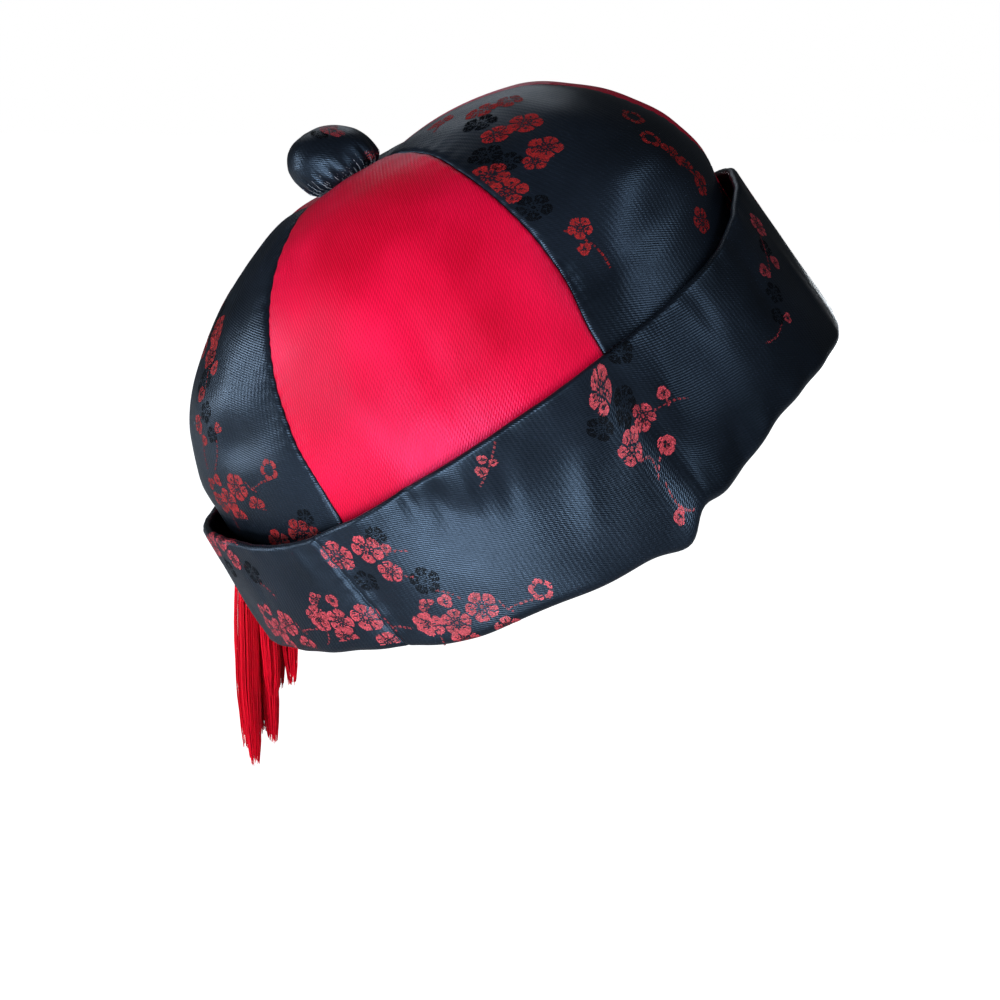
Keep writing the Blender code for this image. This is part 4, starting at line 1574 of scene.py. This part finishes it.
def make_thread_tree() -> NodeTree:
    """Geometry nodes that turn paths into threads.

    Returns:
        The tree, with named inputs for the threads' sizes.
    """
    tree = bpy.data.node_groups.new("threads on paths", "GeometryNodeTree")
    face = tree.interface
    face.new_socket(name="Geometry", in_out="INPUT", socket_type="NodeSocketGeometry")
    for label, kind, value in (
        ("Thread Radius", "NodeSocketFloat", 0.0002),
        ("Sides", "NodeSocketInt", 5),
        ("Wander", "NodeSocketFloat", 0.0),
        ("Wander Scale", "NodeSocketFloat", 60.0),
        ("Seed", "NodeSocketInt", 1),
    ):
        face.new_socket(name=label, in_out="INPUT", socket_type=kind).default_value = value
    face.new_socket(name="Material", in_out="INPUT", socket_type="NodeSocketMaterial")
    face.new_socket(name="Geometry", in_out="OUTPUT", socket_type="NodeSocketGeometry")
    kit = NodeKit(tree)
    given, out = kit.add("NodeGroupInput").outputs, kit.add("NodeGroupOutput")
    noise = kit.add("ShaderNodeTexNoise", {"Scale": given["Wander Scale"]}, noise_dimensions="4D")
    kit.set(noise, {"W": given["Seed"]})
    middle = {0: noise.outputs["Color"], 1: (0.5, 0.5, 0.5)}
    stray = kit.add("ShaderNodeVectorMath", middle, operation="SUBTRACT")
    amount = kit.times(kit.add("GeometryNodeSplineParameter").outputs["Factor"], given["Wander"])
    stray = kit.add("ShaderNodeVectorMath", {0: stray.outputs[0], "Scale": amount}, operation="SCALE")
    chance = kit.add("FunctionNodeRandomValue", {"Seed": given["Seed"]}, data_type="FLOAT").outputs
    shade = {"Name": SHADE, "Value": next(s for s in chance if s.type == "VALUE" and s.enabled)}
    ring = {"Resolution": given["Sides"], "Radius": given["Thread Radius"]}
    ring = kit.add("GeometryNodeCurvePrimitiveCircle", ring).outputs[0]
    line = kit.add("GeometryNodeSetPosition", {"Geometry": given["Geometry"], "Offset": stray.outputs[0]})
    line = kit.add("GeometryNodeStoreNamedAttribute", {"Geometry": line.outputs[0]}, data_type="FLOAT", domain="CURVE")
    kit.set(line, shade)
    tube = kit.add("GeometryNodeCurveToMesh", {"Curve": line.outputs[0], "Profile Curve": ring, "Fill Caps": True})
    smooth = kit.add("GeometryNodeSetShadeSmooth", {"Geometry": tube.outputs[0]})
    real = kit.add("GeometryNodeRealizeInstances", {0: smooth.outputs[0]})
    paint = {"Geometry": real.outputs[0], "Material": given["Material"]}
    kit.set(out, {0: kit.add("GeometryNodeSetMaterial", paint).outputs[0]})
    return tree


@dataclass
class ThreadMaker:
    """Makes mesh threads along paths with the geometry nodes."""

    tree: NodeTree = field(default_factory=make_thread_tree)

    def make(self, name: str, paths: list, material: Material, sizes: dict) -> Object:
        """Turn paths into one mesh of threads.

        Args:
            name: Name of the piece.
            paths: Arrays of points in the model's frame.
            material: Thread material.
            sizes: Values by input name.

        Returns:
            The new mesh object.
        """
        curve = bpy.data.curves.new(name + "_paths", "CURVE")
        curve.dimensions = "3D"
        for path in paths:
            line = curve.splines.new("POLY")
            line.points.add(len(path) - 1)
            line.points.foreach_set("co", np.concatenate([path, np.ones((len(path), 1))], 1).reshape(-1))
        source = add_object(name + "_paths", curve)
        modifier = source.modifiers.new("threads", "NODES")
        modifier.node_group = self.tree
        values = {**sizes, "Material": material}
        for item in self.tree.interface.items_tree:
            if item.in_out == "INPUT" and item.name in values:
                modifier[item.identifier] = values[item.name]
        evaluated = source.evaluated_get(bpy.context.evaluated_depsgraph_get())
        mesh = bpy.data.meshes.new_from_object(evaluated)
        mesh.name = name
        bpy.data.objects.remove(source)
        return add_object(name, mesh)


@dataclass
class Tassel:
    """Thread tassel: a bound head, a skirt of loose threads and the loop that holds it."""

    angle: float = math.radians(-111)
    length: float = 0.096
    head_width: float = 0.0096
    skirt_width: float = 0.0188
    head_height: float = 0.0105
    loop_drop: float = 0.009
    loop_radius: float = 0.0006
    loop_gap: float = 0.0004
    strands: int = 150
    thread: float = 0.00013
    over_head: tuple = ((0.06, 0.96), (0.60, 0.88), (0.92, 0.64), (0.96, 0.44), (0.76, 0.16), (0.62, 0.05))
    points_down: int = 12
    bind_turns: int = 9
    bind_steps: int = 18
    bind_span: tuple = (-0.0007, 0.0021)
    core_sides: int = 40
    core_inset: float = 0.0004
    ply_pitch: float = 2.2
    loop_steps: int = 90

    def place(self, cuff: Cuff) -> ndarray:
        """Where the tassel's neck hangs, in the model's frame.

        Args:
            cuff: The cuff that it hangs from.

        Returns:
            The point.
        """
        angle = np.array(self.angle)
        top, _ = cuff.heights(angle)
        hang = LEAN.world(cuff.point(angle, np.array(0.0), top - cuff.roll_radius))
        out = LEAN.world(cuff.point(angle, np.array(-self.loop_radius - self.loop_gap), np.array(0.0)))
        out = out - LEAN.world(cuff.point(angle, np.array(0.0), np.array(0.0)))
        return hang + np.array([out[0], out[1], -self.loop_drop - self.head_height])

    def strand(self, rng: np.random.Generator, lock: tuple) -> ndarray:
        """Path of one thread, over the head, through the neck and down its lock.

        Args:
            rng: Random numbers with a fixed seed.
            lock: Angle, reach, length and thickness of the lock.

        Returns:
            Points about the tassel's neck.
        """
        angle, reach, length, thick = lock
        half = 0.5 * self.skirt_width
        out = about(1.0, math.radians(angle), 0.0)
        turn, off = rng.uniform(0, math.tau), math.sqrt(rng.uniform(0.05, 1.0))
        side = about(1.0, turn, 0.0)
        head = 0.5 * self.head_width - self.thread
        points = []
        for share, rise in self.over_head:
            points.append(side * head * share * (0.55 + 0.45 * off) + np.array([0, 0, self.head_height * rise]))
        neck = points[-1]
        tip = length * rng.uniform(0.90, 1.0) * (1 - 0.05 * (rng.uniform() > 0.9))
        along = np.linspace(0.05, 1.0, self.points_down)
        stations = [row[0] for row in LOCK_SECTIONS]
        share = np.interp(along, stations, np.linspace(0, 1, len(stations)))
        spread, width = read_column(LOCK_SECTIONS, 1, share), read_column(LOCK_SECTIONS, 2, share)
        blend = np.clip(along / 0.16, 0, 1)[:, None] ** 0.8
        middle = out * (half * reach * spread[:, None] + 0.12 * half)
        flat = middle + side * (off * half * thick * (0.35 + 0.62 * np.minimum(width, 1.0)))[:, None]
        flat = neck * np.array([1, 1, 0]) * (1 - blend) + flat * blend
        drop = np.stack([0 * along, 0 * along, -self.length * tip * along], -1)
        return np.concatenate([np.array(points), flat * np.array([1, 1, 0]) + drop])

    def wrap(self, place: ndarray) -> ndarray:
        """Path of the thread that binds the neck.

        Args:
            place: The neck.

        Returns:
            Points in the model's frame.
        """
        turns = np.linspace(0, math.tau * self.bind_turns, self.bind_turns * self.bind_steps)
        radius = 0.5 * self.head_width * 0.72 + 0.0002 * np.sin(turns * 0.5)
        height = np.linspace(*self.bind_span, len(turns))
        return place + about(radius, turns, height)

    def core(self, place: ndarray) -> Object:
        """Solid heart of the head, under its threads.

        Args:
            place: The neck.

        Returns:
            The object, to be joined with the threads.
        """
        turn = np.linspace(0, math.tau, self.core_sides, endpoint=False)
        rows = []
        for share, rise in TASSEL_HEAD[::-1]:
            reach = max(0.5 * self.head_width * share - self.core_inset, 0.00005)
            rows.append(about(reach, turn, self.head_height * rise * 0.97))
        chart = np.zeros((len(rows), self.core_sides + 1, 2))
        thing = grid_object("tassel_core", np.stack(rows) + place, chart, closed=True)
        close_ends(thing, len(rows), self.core_sides)
        return thing

    def loop_paths(self, cuff: Cuff, place: ndarray) -> list:
        """Paths of the loop's two plies, twisted about each other.

        Args:
            cuff: The cuff that it goes over.
            place: The neck.

        Returns:
            Two arrays of points in the model's frame.
        """
        angle = np.array(self.angle)
        top, _ = cuff.heights(angle)
        clear = self.loop_radius + self.loop_gap
        bow = cuff.roll_radius + clear

        def at(inset: float, height: float) -> ndarray:
            """Point of the cuff in the model's frame."""
            return LEAN.world(cuff.point(angle, np.array(inset), np.array(height)))

        points = [place + np.array([0, 0, self.head_height * 0.9])]
        points.append(place + np.array([0, 0, self.head_height + clear]))
        points.append(0.5 * (points[1] + at(-clear, top - 2 * cuff.roll_radius)))
        for turn in range(0, 181, 20):
            t = math.radians(turn)
            points.append(at(cuff.roll_radius - bow * math.cos(t), top - cuff.roll_radius + bow * math.sin(t)))
        points.append(at(2 * cuff.roll_radius, top - 2.5 * cuff.roll_radius))
        points = np.array(points)
        along = lengths(points)
        fine = np.linspace(0, along[-1], self.loop_steps)
        path = np.stack([np.interp(fine, along, points[:, k]) for k in range(3)], -1)
        tangent = unit(np.gradient(path, axis=0))
        side = unit(np.cross(tangent, np.array([0.3, 0.2, 0.93])))
        other = np.cross(tangent, side)
        turn = fine / self.ply_pitch * math.tau
        twist = (side * np.cos(turn)[:, None] + other * np.sin(turn)[:, None]) * self.loop_radius * 0.5
        return [path + twist, path - twist]

    def make(self, cuff: Cuff, maker: ThreadMaker, finish: Material) -> None:
        """Build and dress the tassel and its loop.

        Args:
            cuff: The cuff that it hangs from.
            maker: Maker of threads.
            finish: Thread material.
        """
        rng = np.random.default_rng(12)
        place = self.place(cuff)
        paths = [place + self.strand(rng, lock) for lock in TASSEL_LOCKS for _ in range(self.strands)]
        sizes = {"Thread Radius": self.thread, "Sides": 4, "Wander": 0.0022, "Wander Scale": 60.0, "Seed": 4}
        skirt = maker.make("tassel_threads", paths, finish, sizes)
        sizes = {"Thread Radius": 0.00022, "Sides": 6, "Wander": 0.0, "Seed": 2}
        bind = maker.make("tassel_bind", [self.wrap(place)], finish, sizes)
        core = self.core(place)
        for extra in (bind, core):
            extra.data.materials.clear()
            extra.data.materials.append(finish)
        with bpy.context.temp_override(active_object=skirt, selected_editable_objects=[skirt, bind, core]):
            bpy.ops.object.join()
        dress(skirt, [finish], ("tassel",))
        sizes = {"Thread Radius": self.loop_radius * 0.52, "Sides": 8, "Wander": 0.0, "Seed": 3}
        loop = maker.make("tassel_loop_cord", self.loop_paths(cuff, place), finish, sizes)
        dress(loop, [finish], ("tassel_loop",))


# --------------------------------------------------------------------------- studio


def aim(thing: Object, place: Vector) -> None:
    """Set a camera or lamp at a place, facing the cap."""
    thing.location = place
    thing.rotation_euler = (-place).to_track_quat("-Z", "Y").to_euler()


@dataclass
class Studio:
    """Pale floor, soft lights and the camera."""

    azimuth: float = 7.5
    elevation: float = 16.0
    distance: float = 0.45
    lens: float = 51.45
    shift: tuple = (-0.02046, -0.06737)
    floor_drop: float = 0.004
    floor_half: float = 3.0
    ambient: float = 0.035
    lights: tuple = (
        ("near window", (-0.79, 0.22, -0.05), (0.52, 0.16), 7.8, (0.88, 0.94, 1.0)),
        ("left window", (-0.12, 1.00, 0.08), (0.36, 0.20), 3.2, (0.74, 0.87, 1.0)),
        ("back window", (0.75, 0.30, 0.62), (0.50, 0.50), 0.9, (0.85, 0.92, 1.0)),
        ("right window", (-0.38, -0.75, 0.68), (0.30, 0.30), 2.2, (0.80, 0.90, 1.0)),
        ("far window", (0.95, -0.12, -0.08), (0.70, 0.10), 1.5, (0.90, 0.95, 1.0)),
    )

    def make_camera(self) -> None:
        """Set the camera at the photograph's angle."""
        a, e = math.radians(self.azimuth), math.radians(self.elevation)
        toward = Vector((-math.cos(a) * math.cos(e), -math.sin(a) * math.cos(e), math.sin(e)))
        data = bpy.data.cameras.new("camera")
        data.lens = self.lens
        data.sensor_width = 36.0
        data.shift_x, data.shift_y = self.shift
        data.clip_start = 0.01
        camera = add_object("camera", data)
        aim(camera, toward * self.distance)
        bpy.context.scene.camera = camera

    def make_lights(self) -> None:
        """Set the soft lights and the pale surroundings."""
        for name, place, size, power, colour in self.lights:
            data = bpy.data.lights.new(name, "AREA")
            data.shape = "RECTANGLE"
            data.size, data.size_y = size
            data.energy = power
            data.color = colour
            aim(add_object(name, data), Vector(place))
        world = bpy.data.worlds.new("pale room")
        world.use_nodes = True
        kit, sky = NodeKit(world.node_tree), world.node_tree.nodes["Background"]
        seen = kit.add("ShaderNodeLightPath").outputs["Is Camera Ray"]
        dim = tuple(self.ambient * c for c in (0.90, 0.95, 1.0))
        kit.set(sky, {"Color": kit.mix(seen, (*dim, 1.0), (1.0, 1.0, 1.0, 1.0))})
        bpy.context.scene.world = world

    def make_floor(self, low: float) -> None:
        """Lay the pale floor under the cap.

        Args:
            low: Height of the cap's lowest point.
        """
        size = np.linspace(-self.floor_half, self.floor_half, 13)
        x, y = np.meshgrid(size, size)
        points = np.stack([x, y, np.full_like(x, low - self.floor_drop)], -1)
        floor = grid_object("floor", points, np.stack([x, y], -1))
        material, kit, shader = start_material("pale floor")
        place = kit.add("ShaderNodeTexCoord").outputs["Object"]
        seen = kit.add("ShaderNodeLightPath").outputs["Is Camera Ray"]
        kit.set(shader, {
            "Base Color": kit.mix(kit.noise(place, 3.0), (0.80, 0.80, 0.81, 1.0), (0.84, 0.84, 0.84, 1.0)),
            "Roughness": kit.span(kit.noise(place, 9.0), 0.3, 0.7, 0.78, 0.9),
            "Emission Color": kit.mix(seen, (0.0, 0.0, 0.0, 1.0), (0.98, 0.98, 0.98, 1.0)),
            "Emission Strength": 1.0,
            "Specular IOR Level": 0.2,
        })
        floor.data.materials.append(material)


def main() -> None:
    """Build the cap, its cloth and its setting."""
    logging.basicConfig(level=logging.INFO, format="%(name)s: %(message)s")
    bpy.context.scene.view_settings.view_transform = "Standard"
    studio = Studio()
    studio.make_camera()
    shop = Workshop()
    finishes = {
        Slot.BROCADE: BROCADE.make(shop),
        Slot.RED_SATIN: RED_SATIN.make(shop),
        Slot.THREAD: TASSEL_THREAD.make(shop),
    }
    floats = [RED_FLOATS.make(shop), BLACK_FLOATS.make(shop)]
    # The crown's red floats use the darker copy of the thread: painted shade, not a different thread.
    crown_floats_painted_shade = [SHADED_RED_FLOATS.make(shop), floats[1]]
    crown, cuff, button = Crown(), Cuff(), Button()
    crown.make(finishes)
    cuff.make(crown, finishes[Slot.BROCADE])
    button.make(crown, finishes[Slot.BROCADE])
    weaver = FloatWeaver()
    # Lightness factors below one, on the gores (0.55) and the button (0.7), are painted shade on the same thread.
    weaver.make("cuff_floats", CuffPanel(cuff), CUFF_PLACES, floats, 21, 1.0)
    for k, (node, slot) in enumerate(GORES):
        if slot == Slot.BROCADE:
            weaver.make(node + "_floats", GorePanel(crown, k), GORE_PLACES[node], crown_floats_painted_shade, 30 + k, 0.55)
    weaver.make("button_floats", ButtonPanel(button, crown), BUTTON_PLACES, floats, 50, 0.7)
    maker = ThreadMaker()
    button.fray(crown, maker, FRAY_AND_PAINTED_HIGHLIGHT.make(shop))
    Tassel().make(cuff, maker, finishes[Slot.THREAD])
    studio.make_floor(cad_box[0][2])
    studio.make_lights()
    bpy.context.view_layer.update()


if __name__ == "__main__":
    main()
